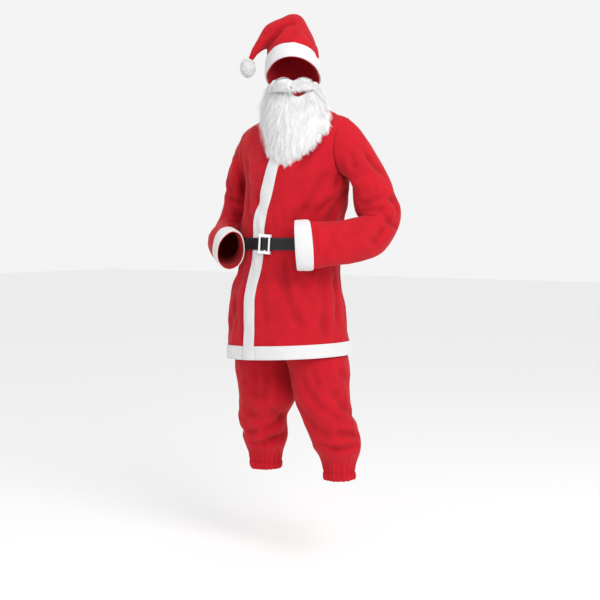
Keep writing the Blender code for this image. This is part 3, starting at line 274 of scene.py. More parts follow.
# What each piece is cut from: the flat size of what shows, and its area
PANELS = {
    "jacket": [
        Cut("jacket_front_left", 0.345, 0.86, 0.245),
        Cut("jacket_front_right", 0.325, 0.86, 0.210),
        Cut("jacket_back", 0.60, 0.88, 0.440),
        Cut("sleeve_left", 0.47, 0.60, 0.245),
        Cut("sleeve_right", 0.47, 0.60, 0.240),
    ],
    "trousers": [
        Cut("trouser_left_front", 0.36, 0.73, 0.200),
        Cut("trouser_left_back", 0.36, 0.73, 0.200),
        Cut("trouser_right_front", 0.36, 0.73, 0.198),
        Cut("trouser_right_back", 0.36, 0.73, 0.198),
        Cut("ankle_casing_left", 0.052, 0.37, 0.0112),
        Cut("ankle_casing_right", 0.052, 0.37, 0.0110),
        Cut("waistband", 0.052, 0.88, 0.0255),
    ],
    "trims": [
        Cut("front_band", 0.054, 0.80, 0.0395, "white_fleece"),
        Cut("hem_band_left", 0.052, 0.34, 0.0155, "white_fleece"),
        Cut("hem_band_right", 0.052, 0.32, 0.0150, "white_fleece"),
        Cut("hem_band_back", 0.052, 0.66, 0.0305, "white_fleece"),
        Cut("cuff_left", 0.055, 0.42, 0.0216, "white_fleece"),
        Cut("cuff_right", 0.055, 0.42, 0.0181, "white_fleece"),
    ],
    "belt": [
        Cut("belt", 0.040, 1.04, 0.0416, "black_leatherette"),
    ],
    "hat": [
        Cut("hat_crown", 0.62, 0.42, 0.1290),
        Cut("hat_band", 0.06, 0.64, 0.0340, "white_fleece"),
    ],
}
TRIM_NODES = [cut.name for group in PANELS.values() for cut in group if cut.slot == "white_fleece"]


# Working on meshes


def only(piece):
    """Selects one object and nothing else."""
    bpy.ops.object.select_all(action="DESELECT")
    piece.select_set(True)
    bpy.context.view_layer.objects.active = piece


def points_of(mesh):
    flat = np.empty(len(mesh.vertices) * 3)
    mesh.vertices.foreach_get("co", flat)
    return flat.reshape(-1, 3)


def normals_of(mesh):
    flat = np.empty(len(mesh.vertices) * 3)
    mesh.vertex_normals.foreach_get("vector", flat)
    return flat.reshape(-1, 3)


def unit(vectors):
    return vectors / np.maximum(np.linalg.norm(vectors, axis=-1, keepdims=True), 1e-9)


def near(distance, reach):
    """1 at no distance, and less the further it is."""
    return np.exp(-((distance / reach) ** 2))


def mark(mesh, name, values):
    """Stores a number for each point, which a material can read."""
    attribute = mesh.attributes.get(name) or mesh.attributes.new(name, "FLOAT", "POINT")
    attribute.data.foreach_set("value", np.asarray(values, np.float32))


def apply_modifier(piece, kind, **settings):
    """Adds one modifier to a piece and applies it."""
    only(piece)
    modifier = piece.modifiers.new(kind.title(), kind)
    for name, value in settings.items():
        setattr(modifier, name, value)
    bpy.ops.object.modifier_apply(modifier=modifier.name)


def copied(node, name):
    """A new object with a merged copy of a node's mesh."""
    piece = bpy.data.objects.new(name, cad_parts[node].data.copy())
    bpy.context.scene.collection.objects.link(piece)
    piece.data.materials.clear()
    only(piece)
    bpy.ops.object.mode_set(mode="EDIT")
    bpy.ops.mesh.select_all(action="SELECT")
    bpy.ops.mesh.remove_doubles(threshold=MERGE_DISTANCE)
    bpy.ops.object.mode_set(mode="OBJECT")
    return piece


def keep_outer_skin(piece, drop_rim):
    """Leaves only the outside of a closed wall of cloth."""
    work = bmesh.new()
    work.from_mesh(piece.data)
    left = set(work.faces)
    skins = []
    while left:
        skin = [left.pop()]
        for face in skin:
            for edge in face.edges:
                if len(edge.link_faces) == 2 and edge.calc_face_angle() < SKIN_ANGLE:
                    for other in edge.link_faces:
                        if other in left:
                            left.discard(other)
                            skin.append(other)
        skins.append(skin)
    outer = set(max(skins, key=lambda skin: sum(face.calc_area() for face in skin)))
    if drop_rim:
        outer = {face for face in outer if min(edge.calc_length() for edge in face.edges) > RIM_EDGE}
    bmesh.ops.delete(work, geom=[face for face in work.faces if face not in outer], context="FACES")
    work.to_mesh(piece.data)
    work.free()


def finer(piece, levels):
    """Quads from a node's triangles, then the smooth surface through them."""
    only(piece)
    bpy.ops.object.mode_set(mode="EDIT")
    bpy.ops.mesh.select_all(action="SELECT")
    bpy.ops.mesh.tris_convert_to_quads(face_threshold=math.pi, shape_threshold=math.pi)
    bpy.ops.object.mode_set(mode="OBJECT")
    apply_modifier(piece, "SUBSURF", levels=levels, render_levels=levels,
                   boundary_smooth="PRESERVE_CORNERS")


def from_edge(mesh):
    """Each point's distance from the nearest open edge."""
    used = np.empty(len(mesh.loops), int)
    mesh.loops.foreach_get("edge_index", used)
    ends = np.empty(len(mesh.edges) * 2, int)
    mesh.edges.foreach_get("vertices", ends)
    open_ends = ends.reshape(-1, 2)[np.bincount(used, minlength=len(mesh.edges)) == 1]
    points = points_of(mesh)
    rim = np.vstack([points[open_ends[:, 0]], points[open_ends].mean(axis=1)])
    tree = KDTree(len(rim))
    for number, point in enumerate(rim):
        tree.insert(point, number)
    tree.balance()
    return np.array([tree.find(point)[2] for point in points])


# Folds and creases

facings = {}
solids = {}


def solid(name):
    """A node's solid, made ready for finding the nearest place on it."""
    if name not in solids:
        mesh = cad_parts[name].data
        mesh.calc_loop_triangles()
        corners = [tuple(triangle.vertices) for triangle in mesh.loop_triangles]
        solids[name] = BVHTree.FromPolygons(points_of(mesh).tolist(), corners)
    return solids[name]


def facing(group, start, end):
    """The way the cloth faces at a crease's middle, the same for every piece of a garment."""
    crease = (group, *start, *end)
    if crease not in facings:
        middle = (Vector(start) + Vector(end)) / 2
        nearest = None
        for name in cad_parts:
            if name.startswith(group):
                _, normal, _, away = solid(name).find_nearest(middle)
                if nearest is None or away < nearest[0]:
                    nearest = (away, normal)
        facings[crease] = nearest[1]
    return np.array(facings[crease])


def pressed(points, group, strength):
    """How far each point moves along its normal for the creases of one garment."""
    depth = np.zeros(len(points))
    for crease in CREASES[group]:
        start, end, width, deep, bow = (np.array(value) / 1000 for value in crease)
        length = np.linalg.norm(end - start)
        along = (end - start) / length
        out = facing(group, start, end)
        out = unit(out - along * (out @ along))
        across = np.cross(out, along)
        share = (points - start) @ along / length
        inside = np.clip(share, 0, 1)
        off = (points - start) @ across - bow * 4 * inside * (1 - inside)
        lift = (points - start) @ out
        taper = np.sin(np.pi * inside) ** 0.75 * near(lift, CREASE_LIFT)
        taper *= 1 + 0.25 * np.sin(9 * share + 40 * width)
        side = 1 if bow > 0 else -1
        valley = near(off, width)
        ridge = near(off - side * RIDGE_OFFSET * width, RIDGE_WIDTH * width)
        depth += deep * taper * (RIDGE_HEIGHT * ridge - valley)
    return depth * strength


def waves(points):
    """A broad unevenness that runs on across seams."""
    chance = np.random.default_rng(7)
    height = np.zeros(len(points))
    for length, tall in WAVES:
        for _ in range(4):
            way = unit(chance.normal(size=3) * (1, 1, 0.6))
            height += tall / 2 * np.sin(points @ way * 2 * np.pi / length + chance.uniform(0, 2 * np.pi))
    return height


def pleats(gather, heights, wander):
    """Uneven pleats round a gathered place; wander is the phase at each point."""
    return gather.depth * near(heights - gather.height, gather.reach) * np.cos(wander)


def gathers(points, group):
    """Small pleats where elastic or the belt draws the cloth in."""
    x, y, z = points.T
    if group.startswith("trouser"):
        turn = np.arctan2(x - LEG_MIDDLE[group], LEG_BACK - y)
        ankle = pleats(ANKLE_GATHER, z, ANKLE_GATHER.pleats * turn + 2 * np.sin(3 * turn))
        turn = np.arctan2(x - WAIST_MIDDLE, -y)
        return ankle + pleats(WAIST_GATHER, z, WAIST_GATHER.pleats * turn + 2 * np.sin(3 * turn))
    if group == "jacket":
        turn = np.arctan2(x - JACKET_MIDDLE, -y)
        return pleats(BELT_GATHER, z, BELT_GATHER.pleats * turn + 1.5 * np.sin(2 * turn) + 14 * z)
    return np.zeros(len(points))


def beside_belt(points, group):
    """0 under the belt, 1 clear of it."""
    if group != "jacket":
        return 1.0
    return 1 - np.exp(-(((points[:, 2] - BELT_HEIGHT) / BELT_FADE) ** 4))


def beside_seam(points, node):
    """0 at the seam with a piece that has folds of its own, 1 clear of it."""
    sewn_to = SEWN_TO[node.split("_")[0]]
    own = group_of(node)
    others = [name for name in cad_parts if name.startswith(sewn_to) and not name.startswith(own)]
    nearest = np.full(len(points), 3 * SEAM_FADE)
    for name in others:
        found = [solid(name).find_nearest(point, 3 * SEAM_FADE)[3] for point in points]
        nearest = np.minimum(nearest, [3 * SEAM_FADE if away is None else away for away in found])
    return 1 - near(nearest, SEAM_FADE)


def group_of(node):
    """The garment whose creases run over a node."""
    node = node.replace("cuff", "sleeve").replace("ankle_casing", "trouser")
    node = node.replace("hat_band", "hat_crown").replace("waistband", "trouser_left")
    for group in CREASES:
        if node.startswith(group):
            return group
    return "jacket"


def shaped(piece, node, settings):
    """Presses the creases and the waves into a piece's outer skin."""
    mesh = piece.data
    group = group_of(node)
    points, normals = points_of(mesh), normals_of(mesh)
    edge = from_edge(mesh)
    creased = pressed(points, group, settings.crease_strength)
    loose = creased + waves(points) * settings.wave_strength + gathers(points, group)
    loose *= beside_belt(points, group)
    if node.split("_")[0] in SEWN_TO:
        loose *= beside_seam(points, node)
    if node in TRIM_NODES:
        swollen = settings.trim_puff * (1 - near(edge, TRIM_REACH))
        loose += swollen - settings.trim_round * near(edge, TRIM_ROLL)
    else:
        loose -= settings.seam_dip * near(edge, SEAM_REACH)
    shifted = points + normals * loose[:, None]
    if node.startswith("trouser"):
        tucked = near(points[:, 2] - ANKLE, ANKLE_TUCK)
        shifted -= normals * (ANKLE_SINK * tucked)[:, None]
        shifted[:, 2] -= ANKLE_TUCK * tucked
    mesh.vertices.foreach_set("co", shifted.ravel())
    mesh.update()
    mark(mesh, "edge", edge)
    # Painted shade for the felt: how deep each point lies in a crease's trough, from 0 to 1
    mark(mesh, "hollow", np.clip(-creased / PAINTED_SHADE_DEPTH, 0, 1))


def handed_over(piece, cut):
    """Hangs a piece of cloth on the root body and hides the solid it is made from."""
    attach(piece, "root")
    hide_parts(cut.name)


def finish_cloth(cut, settings, finish, thick):
    """One piece of cloth: skin, folds, thickness, finish; the crown's solid is finer already."""
    piece = copied(cut.name, cut.name + "_cloth")
    keep_outer_skin(piece, drop_rim=cut.name.startswith(("jacket", "sleeve", "trouser")))
    finer(piece, settings.levels - 1 if cut.name == "hat_crown" else settings.levels)
    shaped(piece, cut.name, settings)
    apply_modifier(piece, "SOLIDIFY", thickness=thick, offset=-1)
    bpy.ops.object.shade_smooth_by_angle(angle=SMOOTH_ANGLE)
    piece.data.materials.append(finish)
    handed_over(piece, cut)


def sew(context, group):
    """Makes every piece of one group from its cut."""
    settings = context.scene.santa_suit.cloth
    for cut in PANELS[group]:
        make, thick = CLOTHS[cut.slot]
        if cut.name == "hat_band":
            thick = HAT_BAND_THICK
        finish_cloth(cut, settings, finish_named(cut.slot, make, settings), thick)
    return {"FINISHED"}


# Fibre


def scatter(mesh, count, seed):
    """Random places on a mesh, even over its area, with the way it faces there."""
    chance = np.random.default_rng(seed)
    mesh.calc_loop_triangles()
    corners = np.empty(len(mesh.loop_triangles) * 3, int)
    mesh.loop_triangles.foreach_get("vertices", corners)
    a, b, c = points_of(mesh)[corners.reshape(-1, 3)].transpose(1, 0, 2)
    facing_out = np.cross(b - a, c - a)
    area = np.linalg.norm(facing_out, axis=1)
    chosen = chance.choice(len(area), count, p=area / area.sum())
    u, v = chance.random((2, count, 1))
    over = u + v > 1
    u, v = np.where(over, 1 - u, u), np.where(over, 1 - v, v)
    place = a[chosen] + u * (b - a)[chosen] + v * (c - a)[chosen]
    return place, unit(facing_out[chosen])


def strands(name, roots, facing_out, start_way, end_way, lengths, width, steps, seed, pull, wave):
    """Flat tapered fibres as one mesh; pull draws the tips of each lock together."""
    chance = np.random.default_rng(seed)
    count = len(roots)
    phase = chance.uniform(0, 2 * np.pi, (count, 1))
    turns = chance.uniform(0.6, 1.6, (count, 1))
    twist = chance.uniform(-0.3, 0.3, (count, 1))
    across = unit(np.cross(start_way, facing_out))
    place = roots.copy()
    rings = []
    for step in range(steps + 1):
        share = step / steps
        way = unit(start_way * (1 - share) + end_way * share)
        side = unit(np.cross(way, facing_out))
        side = side * np.cos(twist) + facing_out * np.sin(twist)
        bend = across * (np.sin(2 * np.pi * turns * share + phase) - np.sin(phase)) * wave * share
        middle = place + bend + pull * share**1.5
        half = width / 2 * (1 - share) ** 0.55
        if step < steps:
            rings.append((middle - side * half, middle + side * half))
        else:
            rings.append((middle,))
        place = place + way * lengths[:, None] / steps
    points = np.concatenate([part for ring in rings for part in ring])
    first = np.arange(count)
    faces = []
    for step in range(steps - 1):
        low = first + 2 * step * count
        quad = np.stack([low, low + count, low + 3 * count, low + 2 * count], axis=1)
        faces.extend(quad.tolist())
    low = first + 2 * (steps - 1) * count
    faces.extend(np.stack([low, low + count, low + 2 * count], axis=1).tolist())
    mesh = bpy.data.meshes.new(name)
    mesh.from_pydata(points.tolist(), [], faces)
    mesh.shade_smooth()
    tone = chance.random(count)
    mark(mesh, "tone", np.concatenate([tone] * (2 * steps + 1)))
    piece = bpy.data.objects.new(name, mesh)
    bpy.context.scene.collection.objects.link(piece)
    return piece


def lock_pull(roots, spacing, seed, strength):
    """A step from each root toward the middle of its lock."""
    chance = np.random.default_rng(seed)
    chosen = []
    for number in chance.permutation(len(roots)):
        if not chosen or min(np.sum((roots[chosen] - roots[number]) ** 2, axis=1)) > spacing**2:
            chosen.append(number)
    tree = KDTree(len(chosen))
    for number, root in enumerate(chosen):
        tree.insert(roots[root], number)
    tree.balance()
    return np.array([np.array(tree.find(root)[0]) - root for root in roots]) * strength


def joined(name, pieces):
    """Several meshes as one object."""
    bpy.ops.object.select_all(action="DESELECT")
    for piece in pieces:
        piece.select_set(True)
    bpy.context.view_layer.objects.active = pieces[0]
    bpy.ops.object.join()
    pieces[0].name = name
    return pieces[0]


def across_beard(points):
    """How far points lie to the right as seen from in front of the beard."""
    return points[:, 0] * BEARD_RIGHT[0] + points[:, 1] * BEARD_RIGHT[1]


def fibre_finished(piece, node, settings):
    """Gives a piece of fibre its finish, hangs it on the root body and hides its solid."""
    piece.data.shade_smooth()
    piece.data.materials.append(finish_named("fibre", fibre, settings, "white_fibre_strands"))
    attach(piece, "root")
    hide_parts(node)


# Materials


def add_node(tree, kind, inputs=None, **settings):
    """A shader node with its settings, and its sockets linked or set."""
    made = tree.nodes.new("ShaderNode" + kind)
    for name, value in settings.items():
        setattr(made, name, value)
    for name, value in (inputs or {}).items():
        if isinstance(value, bpy.types.NodeSocket):
            tree.links.new(value, made.inputs[name])
        else:
            made.inputs[name].default_value = value
    return made


def new_material(name, colour, roughness, **sockets):
    """A Principled material and its tree; sockets are set by name with _ for a space."""
    made = bpy.data.materials.new(name)
    made.use_nodes = True
    surface = made.node_tree.nodes["Principled BSDF"]
    surface.inputs["Base Color"].default_value = (*colour, 1)
    surface.inputs["Roughness"].default_value = roughness
    for socket, value in sockets.items():
        surface.inputs[socket.replace("_", " ")].default_value = value
    made.diffuse_color = (*colour, 1)
    return made, made.node_tree, surface


def stored(tree, name):
    """The number that mark stored for each point."""
    return add_node(tree, "Attribute", attribute_name=name).outputs["Fac"]


def noise(tree, scale, detail=3.0, rough=0.55, vector=None):
    """Even speckle over a piece, with this many spots in a metre."""
    vector = vector or add_node(tree, "TexCoord").outputs["Object"]
    inputs = {"Vector": vector, "Scale": scale, "Detail": detail, "Roughness": rough}
    return add_node(tree, "TexNoise", inputs).outputs["Fac"]


def maths(tree, operation, first, second=0.0):
    return add_node(tree, "Math", {0: first, 1: second}, operation=operation).outputs[0]


def weighed(tree, first, share, second, other):
    """Two values added, each at its share."""
    return maths(tree, "ADD", maths(tree, "MULTIPLY", first, share), maths(tree, "MULTIPLY", second, other))


def mixed(tree, factor, first, second, kind="MIX"):
    """A colour between two others."""
    made = add_node(tree, "Mix", {0: factor, 6: first, 7: second}, data_type="RGBA", blend_type=kind)
    return made.outputs[2]


def spread(tree, value, low, high):
    """A noise's middle range stretched to 0..1."""
    made = add_node(tree, "MapRange", {"Value": value, "From Min": low, "From Max": high})
    return made.outputs["Result"]


def shade(colour, factor):
    return (*(channel * factor for channel in colour), 1)


def add_bump(tree, surface, height, strength, distance):
    bump = add_node(tree, "Bump", {"Height": height, "Strength": strength, "Distance": distance})
    tree.links.new(bump.outputs["Normal"], surface.inputs["Normal"])


def felt(settings):
    """Napped red felt: matt, a little mottled, with painted shade that darkens the creases' troughs."""
    colour = tuple(settings.felt_colour)
    made, tree, surface = new_material("red_felt_nap", colour, 0.92, Sheen_Weight=0.15,
                                       Sheen_Roughness=0.45, Specular_IOR_Level=0.18,
                                       Sheen_Tint=(1.0, 0.42, 0.38, 1.0))
    fibres = noise(tree, 1100, 4.0, 0.7)
    pills = noise(tree, 260, 5.0, 0.65)
    patches = noise(tree, 22, 3.0)
    tone_and_painted_shade = mixed(tree, spread(tree, patches, 0.35, 0.65), shade(colour, 0.94), shade(colour, 1.06))
    speckled = mixed(tree, spread(tree, fibres, 0.3, 0.75), shade((1, 1, 1), 0.80), shade((1, 1, 1), 1.10))
    tone_and_painted_shade = mixed(tree, 1.0, tone_and_painted_shade, speckled, "MULTIPLY")
    hollow = stored(tree, "hollow")
    # Painted shade: the colour is drawn towards 0.42 of itself where a crease's trough is deep
    tone_and_painted_shade = mixed(tree, maths(tree, "MULTIPLY", hollow, 0.30), tone_and_painted_shade, shade(colour, 0.42))
    tree.links.new(tone_and_painted_shade, surface.inputs["Base Color"])
    height = weighed(tree, fibres, 0.45, pills, 0.75)
    add_bump(tree, surface, height, 0.55, 0.0011)
    return made


def fleece(settings):
    """White fleece: a short dense nap in faint rows along the band."""
    colour = tuple(settings.fleece_colour)
    made, tree, surface = new_material("white_fleece_nap", colour, 0.95, Sheen_Weight=0.35,
                                       Sheen_Roughness=0.6, Specular_IOR_Level=0.15)
    tufts = noise(tree, 420, 4.0, 0.6)
    fibres = noise(tree, 1300, 3.0, 0.7)
    edge = stored(tree, "edge")
    wander = maths(tree, "MULTIPLY", noise(tree, 90), 4.0)
    along = maths(tree, "MULTIPLY", edge, 2 * math.pi / settings.wale)
    rows = maths(tree, "SINE", maths(tree, "ADD", along, wander))
    rows = maths(tree, "MULTIPLY", rows, 0.10)
    tone = mixed(tree, spread(tree, tufts, 0.3, 0.7), shade(colour, 0.90), shade(colour, 1.02))
    tree.links.new(tone, surface.inputs["Base Color"])
    height = weighed(tree, tufts, 0.8, fibres, 0.35)
    add_bump(tree, surface, maths(tree, "ADD", height, rows), 0.6, 0.0016)
    return made


def fibre(settings, name):
    """Long white fibre: each strand a slightly different white."""
    colour = tuple(settings.fibre_colour)
    made, tree, surface = new_material(name, colour, 0.7, Sheen_Weight=0.4, Sheen_Roughness=0.6,
                                       Specular_IOR_Level=0.2)
    tone = stored(tree, "tone")
    coords = add_node(tree, "TexCoord").outputs["Object"]
    stretch = add_node(tree, "Mapping", {"Vector": coords, "Scale": (1.0, 1.0, 0.12)}).outputs["Vector"]
    streaks = noise(tree, 500, 4.0, 0.6, stretch)
    mix = weighed(tree, tone, 0.6, streaks, 0.5)
    tree.links.new(mixed(tree, mix, shade(colour, 0.93), shade(colour, 1.05)), surface.inputs["Base Color"])
    add_bump(tree, surface, streaks, 0.25, 0.001)
    return made


def leatherette():
    """Black coated cloth with a fine pressed grain and a satin gloss."""
    black = (0.010, 0.010, 0.012)
    worn_black = (0.05, 0.05, 0.055)
    made, tree, surface = new_material("black_leatherette_grain", black, 0.34, Specular_IOR_Level=0.28,
                                       Coat_Weight=0.04, Coat_Roughness=0.25)
    coords = add_node(tree, "TexCoord").outputs["Object"]
    cells = add_node(tree, "TexVoronoi", {"Vector": coords, "Scale": 900.0}, feature="SMOOTH_F1")
    grain = cells.outputs["Distance"]
    wrinkles = noise(tree, 140, 4.0)
    dull = maths(tree, "ADD", maths(tree, "MULTIPLY", wrinkles, 0.22), 0.22)
    tree.links.new(dull, surface.inputs["Roughness"])
    edge = stored(tree, "edge")
    worn = maths(tree, "SUBTRACT", 1.0, spread(tree, edge, 0.0, 0.0035))
    tone = mixed(tree, maths(tree, "MULTIPLY", worn, 0.5), shade(black, 1), shade(worn_black, 1))
    tree.links.new(tone, surface.inputs["Base Color"])
    height = weighed(tree, grain, 0.5, wrinkles, 0.6)
    add_bump(tree, surface, height, 0.35, 0.0006)
    return made


def plastic():
    """Silvery white moulded plastic with fine handling marks."""
    made, tree, surface = new_material("silver_white_plastic", (0.86, 0.87, 0.89), 0.25, Metallic=0.18,
                                       Coat_Weight=0.3, Coat_Roughness=0.12)
    marks = noise(tree, 300, 5.0, 0.7)
    dull = maths(tree, "ADD", maths(tree, "MULTIPLY", marks, 0.18), 0.16)
    tree.links.new(dull, surface.inputs["Roughness"])
    add_bump(tree, surface, marks, 0.12, 0.0003)
    return made


def elastic():
    """Flat woven elastic with ribs along its length."""
    made, tree, surface = new_material("white_elastic_weave", (0.78, 0.78, 0.76), 0.8, Sheen_Weight=0.2)
    coords = add_node(tree, "TexCoord").outputs["Object"]
    up = add_node(tree, "SeparateXYZ", {0: coords}).outputs["Z"]
    ribs = maths(tree, "SINE", maths(tree, "MULTIPLY", up, 2 * math.pi / 0.0011))
    weave = maths(tree, "ADD", maths(tree, "MULTIPLY", ribs, 0.5), noise(tree, 1500, 2.0))
    tone = mixed(tree, spread(tree, weave, 0.0, 1.2), (0.62, 0.62, 0.60, 1), (0.84, 0.84, 0.82, 1))
    tree.links.new(tone, surface.inputs["Base Color"])
    add_bump(tree, surface, weave, 0.5, 0.0004)
    return made


CLOTHS = {"red_felt": (felt, FELT_THICK), "white_fleece": (fleece, TRIM_THICK)}
finishes = {}


def finish_named(name, make, *values):
    """A finish is made once and shared."""
    if name not in finishes:
        finishes[name] = make(*values)
    return finishes[name]


# What a user can change

DISTANCE = {"subtype": "DISTANCE", "unit": "LENGTH"}


class SuitCloth(bpy.types.PropertyGroup):
    felt_colour: FloatVectorProperty(name="Felt", description="Colour of the red felt",
                                     default=(0.485, 0.008, 0.018), subtype="COLOR", min=0, max=1)
    levels: IntProperty(name="Fineness", description="How often each panel is made finer", default=3,
                        min=1, max=4)
    crease_strength: FloatProperty(name="Creases", description="Depth of the creases, 1 as drawn",
                                   default=1.7, min=0, max=2)
    wave_strength: FloatProperty(name="Unevenness", description="Height of the broad waves, 1 as worn",
                                 default=1.0, min=0, max=2)
    seam_dip: FloatProperty(name="Seam dip", description="How far the cloth dips at a seam",
                            default=0.0009, **DISTANCE, min=0)
    trim_puff: FloatProperty(name="Trim puff", description="How far a trim's middle swells",
                             default=0.0006, **DISTANCE, min=0)
    trim_round: FloatProperty(name="Trim edge", description="How far a trim's edge rolls in",
                              default=0.0014, **DISTANCE, min=0)
    fleece_colour: FloatVectorProperty(name="Fleece", description="Colour of the white trims",
                                       default=(0.66, 0.665, 0.675), subtype="COLOR", min=0, max=1)
    wale: FloatProperty(name="Rows", description="Distance between the rows of the fleece's nap",
                        default=0.0034, **DISTANCE, min=0.001)


class SuitFibre(bpy.types.PropertyGroup):
    fibre_colour: FloatVectorProperty(name="Fibre", description="Colour of the beard and the pompom",
                                      default=(0.83, 0.83, 0.835), subtype="COLOR", min=0, max=1)
    beard_strands: IntProperty(name="Beard strands", description="Strands in the beard", default=12000,
                               min=100)
    moustache_strands: IntProperty(name="Moustache strands", description="Strands in the moustache",
                                   default=4500, min=100)
    pompom_strands: IntProperty(name="Pompom strands", description="Strands in the pompom", default=6000,
                                min=100)
    strand_width: FloatProperty(name="Strand width", description="Width of a strand at its root",
                                default=0.0016, **DISTANCE, min=0.0001)


class SuitStage(bpy.types.PropertyGroup):
    distance: FloatProperty(name="Camera distance", description="From the suit's middle to the camera",
                            default=4.0, **DISTANCE, min=1)
    azimuth: FloatProperty(name="Camera azimuth", description="Round the suit, 0 from the front",
                           default=math.radians(35), subtype="ANGLE", unit="ROTATION")
    height: FloatProperty(name="Camera height", description="Of the camera above the origin",
                          default=-0.35, **DISTANCE)
    floor: FloatProperty(name="Floor", description="Height of the floor under the suit",
                         default=-1.50, **DISTANCE)
    brightness: FloatProperty(name="Light", description="Strength of the lamps, 1 as in the studio",
                              default=1.0, min=0, max=5)


class SuitSettings(bpy.types.PropertyGroup):
    cloth: PointerProperty(type=SuitCloth, name="Cloth", description="Felt and fleece")
    fibre: PointerProperty(type=SuitFibre, name="Fibre", description="Beard and pompom")
    stage: PointerProperty(type=SuitStage, name="Stage", description="Camera, floor and light")


# What the pieces are made by


class SUIT_OT_jacket(bpy.types.Operator):
    """Make the jacket's fronts, back and sleeves"""

    bl_idname = "suit.jacket"
    bl_label = "Jacket"

    def execute(self, context):
        return sew(context, "jacket")


class SUIT_OT_trousers(bpy.types.Operator):
    """Make the trousers' panels, ankle casings and waistband"""

    bl_idname = "suit.trousers"
    bl_label = "Trousers"

    def execute(self, context):
        return sew(context, "trousers")


class SUIT_OT_trims(bpy.types.Operator):
    """Make the jacket's white front band, hem bands and cuffs"""

    bl_idname = "suit.trims"
    bl_label = "White trims"

    def execute(self, context):
        return sew(context, "trims")


class SUIT_OT_hat(bpy.types.Operator):
    """Make the hat's crown and its white band"""

    bl_idname = "suit.hat"
    bl_label = "Hat"

    def execute(self, context):
        return sew(context, "hat")


class SUIT_OT_belt(bpy.types.Operator):
    """Make the belt and give the buckle its finish"""

    bl_idname = "suit.belt"
    bl_label = "Belt"

    def execute(self, context):
        cut = PANELS["belt"][0]
        strap = copied(cut.name, "belt_strap")
        keep_outer_skin(strap, drop_rim=False)
        finer(strap, 3)
        edge = from_edge(strap.data)
        rolled = BELT_ROLL * near(edge, BELT_ROLL_REACH)
        rolled = points_of(strap.data) - normals_of(strap.data) * rolled[:, None]
        strap.data.vertices.foreach_set("co", rolled.ravel())
        mark(strap.data, "edge", edge)
        apply_modifier(strap, "SOLIDIFY", thickness=BELT_THICK, offset=-1)
        bpy.ops.object.shade_smooth_by_angle(angle=BELT_SMOOTH_ANGLE)
        strap.data.materials.append(leatherette())
        handed_over(strap, cut)
        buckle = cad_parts["buckle"]
        buckle.data.materials.clear()
        buckle.data.materials.append(plastic())
        return {"FINISHED"}


class SUIT_OT_pompom(bpy.types.Operator):
    """Make the hat's pompom from short fibre on a round core"""

    bl_idname = "suit.pompom"
    bl_label = "Pompom"

    def execute(self, context):
        settings = context.scene.santa_suit.fibre
        low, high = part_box("hat_pompom")
        half = (high - low) / 2
        bpy.ops.object.select_all(action="DESELECT")
        bpy.ops.mesh.primitive_ico_sphere_add(subdivisions=4, radius=1, location=(low + high) / 2)
        core = context.object
        core.scale = half * POMPOM_CORE
        bpy.ops.object.transform_apply(location=True, rotation=True, scale=True)
        mark(core.data, "tone", np.full(len(core.data.vertices), 0.9))
        roots, out = scatter(core.data, settings.pompom_strands, 3)
        chance = np.random.default_rng(4)
        tangent = unit(np.cross(out, chance.normal(size=out.shape)))
        end = unit(out * 0.20 + tangent)
        reach = np.linalg.norm(np.array(half) * out, axis=1)
        lengths = reach * chance.uniform(0.24, 0.42, len(roots))
        pull = lock_pull(roots, spacing=0.004, seed=5, strength=0.2)
        start = unit(out * 0.7 + tangent)
        tufts = strands("tufts", roots, out, start, end, lengths, settings.strand_width,
                        steps=3, seed=6, pull=pull, wave=0.001)
        fibre_finished(joined("pompom_fibre", [core, tufts]), "hat_pompom", settings)
        return {"FINISHED"}


class SUIT_OT_beard(bpy.types.Operator):
    """Make the false beard: long fibre that hangs in soft locks from its backing"""

    bl_idname = "suit.beard"
    bl_label = "Beard"

    def execute(self, context):
        settings = context.scene.santa_suit.fibre
        chance = np.random.default_rng(11)
        backing = copied("beard", "beard_backing")
        keep_outer_skin(backing, drop_rim=False)
        finer(backing, 2)
        rim = backing.data
        points, normals = points_of(rim), normals_of(rim)
        sunk = BEARD_SUNK[0] + BEARD_SUNK[1] * near(from_edge(rim), 0.010)
        rim.vertices.foreach_set("co", (points - normals * sunk[:, None]).ravel())
        lowest = points[from_edge(rim) < 1e-4]
        apply_modifier(backing, "SOLIDIFY", thickness=BEARD_BACKING, offset=-1)
        mark(backing.data, "tone", np.full(len(backing.data.vertices), 0.8))
        roots, out = scatter(backing.data, settings.beard_strands, 12)
        across = across_beard(roots)
        bottoms = lowest[lowest[:, 2] < BEARD_BOTTOM]
        under = np.abs(across[:, None] - across_beard(bottoms)[None, :]).argmin(axis=1)
        room = roots[:, 2] - bottoms[under, 2]
        flow = unit(DOWN - out * (out @ DOWN)[:, None] * 0.9)
        fan = np.clip(-(across + 0.005) / 0.10, -0.5, 1)[:, None] * BEARD_RIGHT * -0.10
        fan = fan + chance.normal(0, 0.10, (len(roots), 1)) * BEARD_RIGHT
        start = unit(flow + out * 0.20 + fan)
        end = unit(flow + out * chance.uniform(-0.08, 0.06, (len(roots), 1)) + fan * 1.6)
        lengths = room + chance.uniform(-0.002, 0.012, len(roots))
        shortest = chance.uniform(0.014, 0.022, len(roots))
        longest = chance.uniform(0.040, 0.062, len(roots))
        lengths = np.clip(lengths, shortest, longest)
        pull = lock_pull(roots, spacing=0.013, seed=13, strength=0.55)
        pull[:, 2] *= 0.3
        locks = strands("locks", roots, out, start, end, lengths, settings.strand_width,
                        steps=6, seed=14, pull=pull, wave=0.0028)
        fibre_finished(joined("beard_fibre", [backing, locks]), "beard", settings)
        return {"FINISHED"}


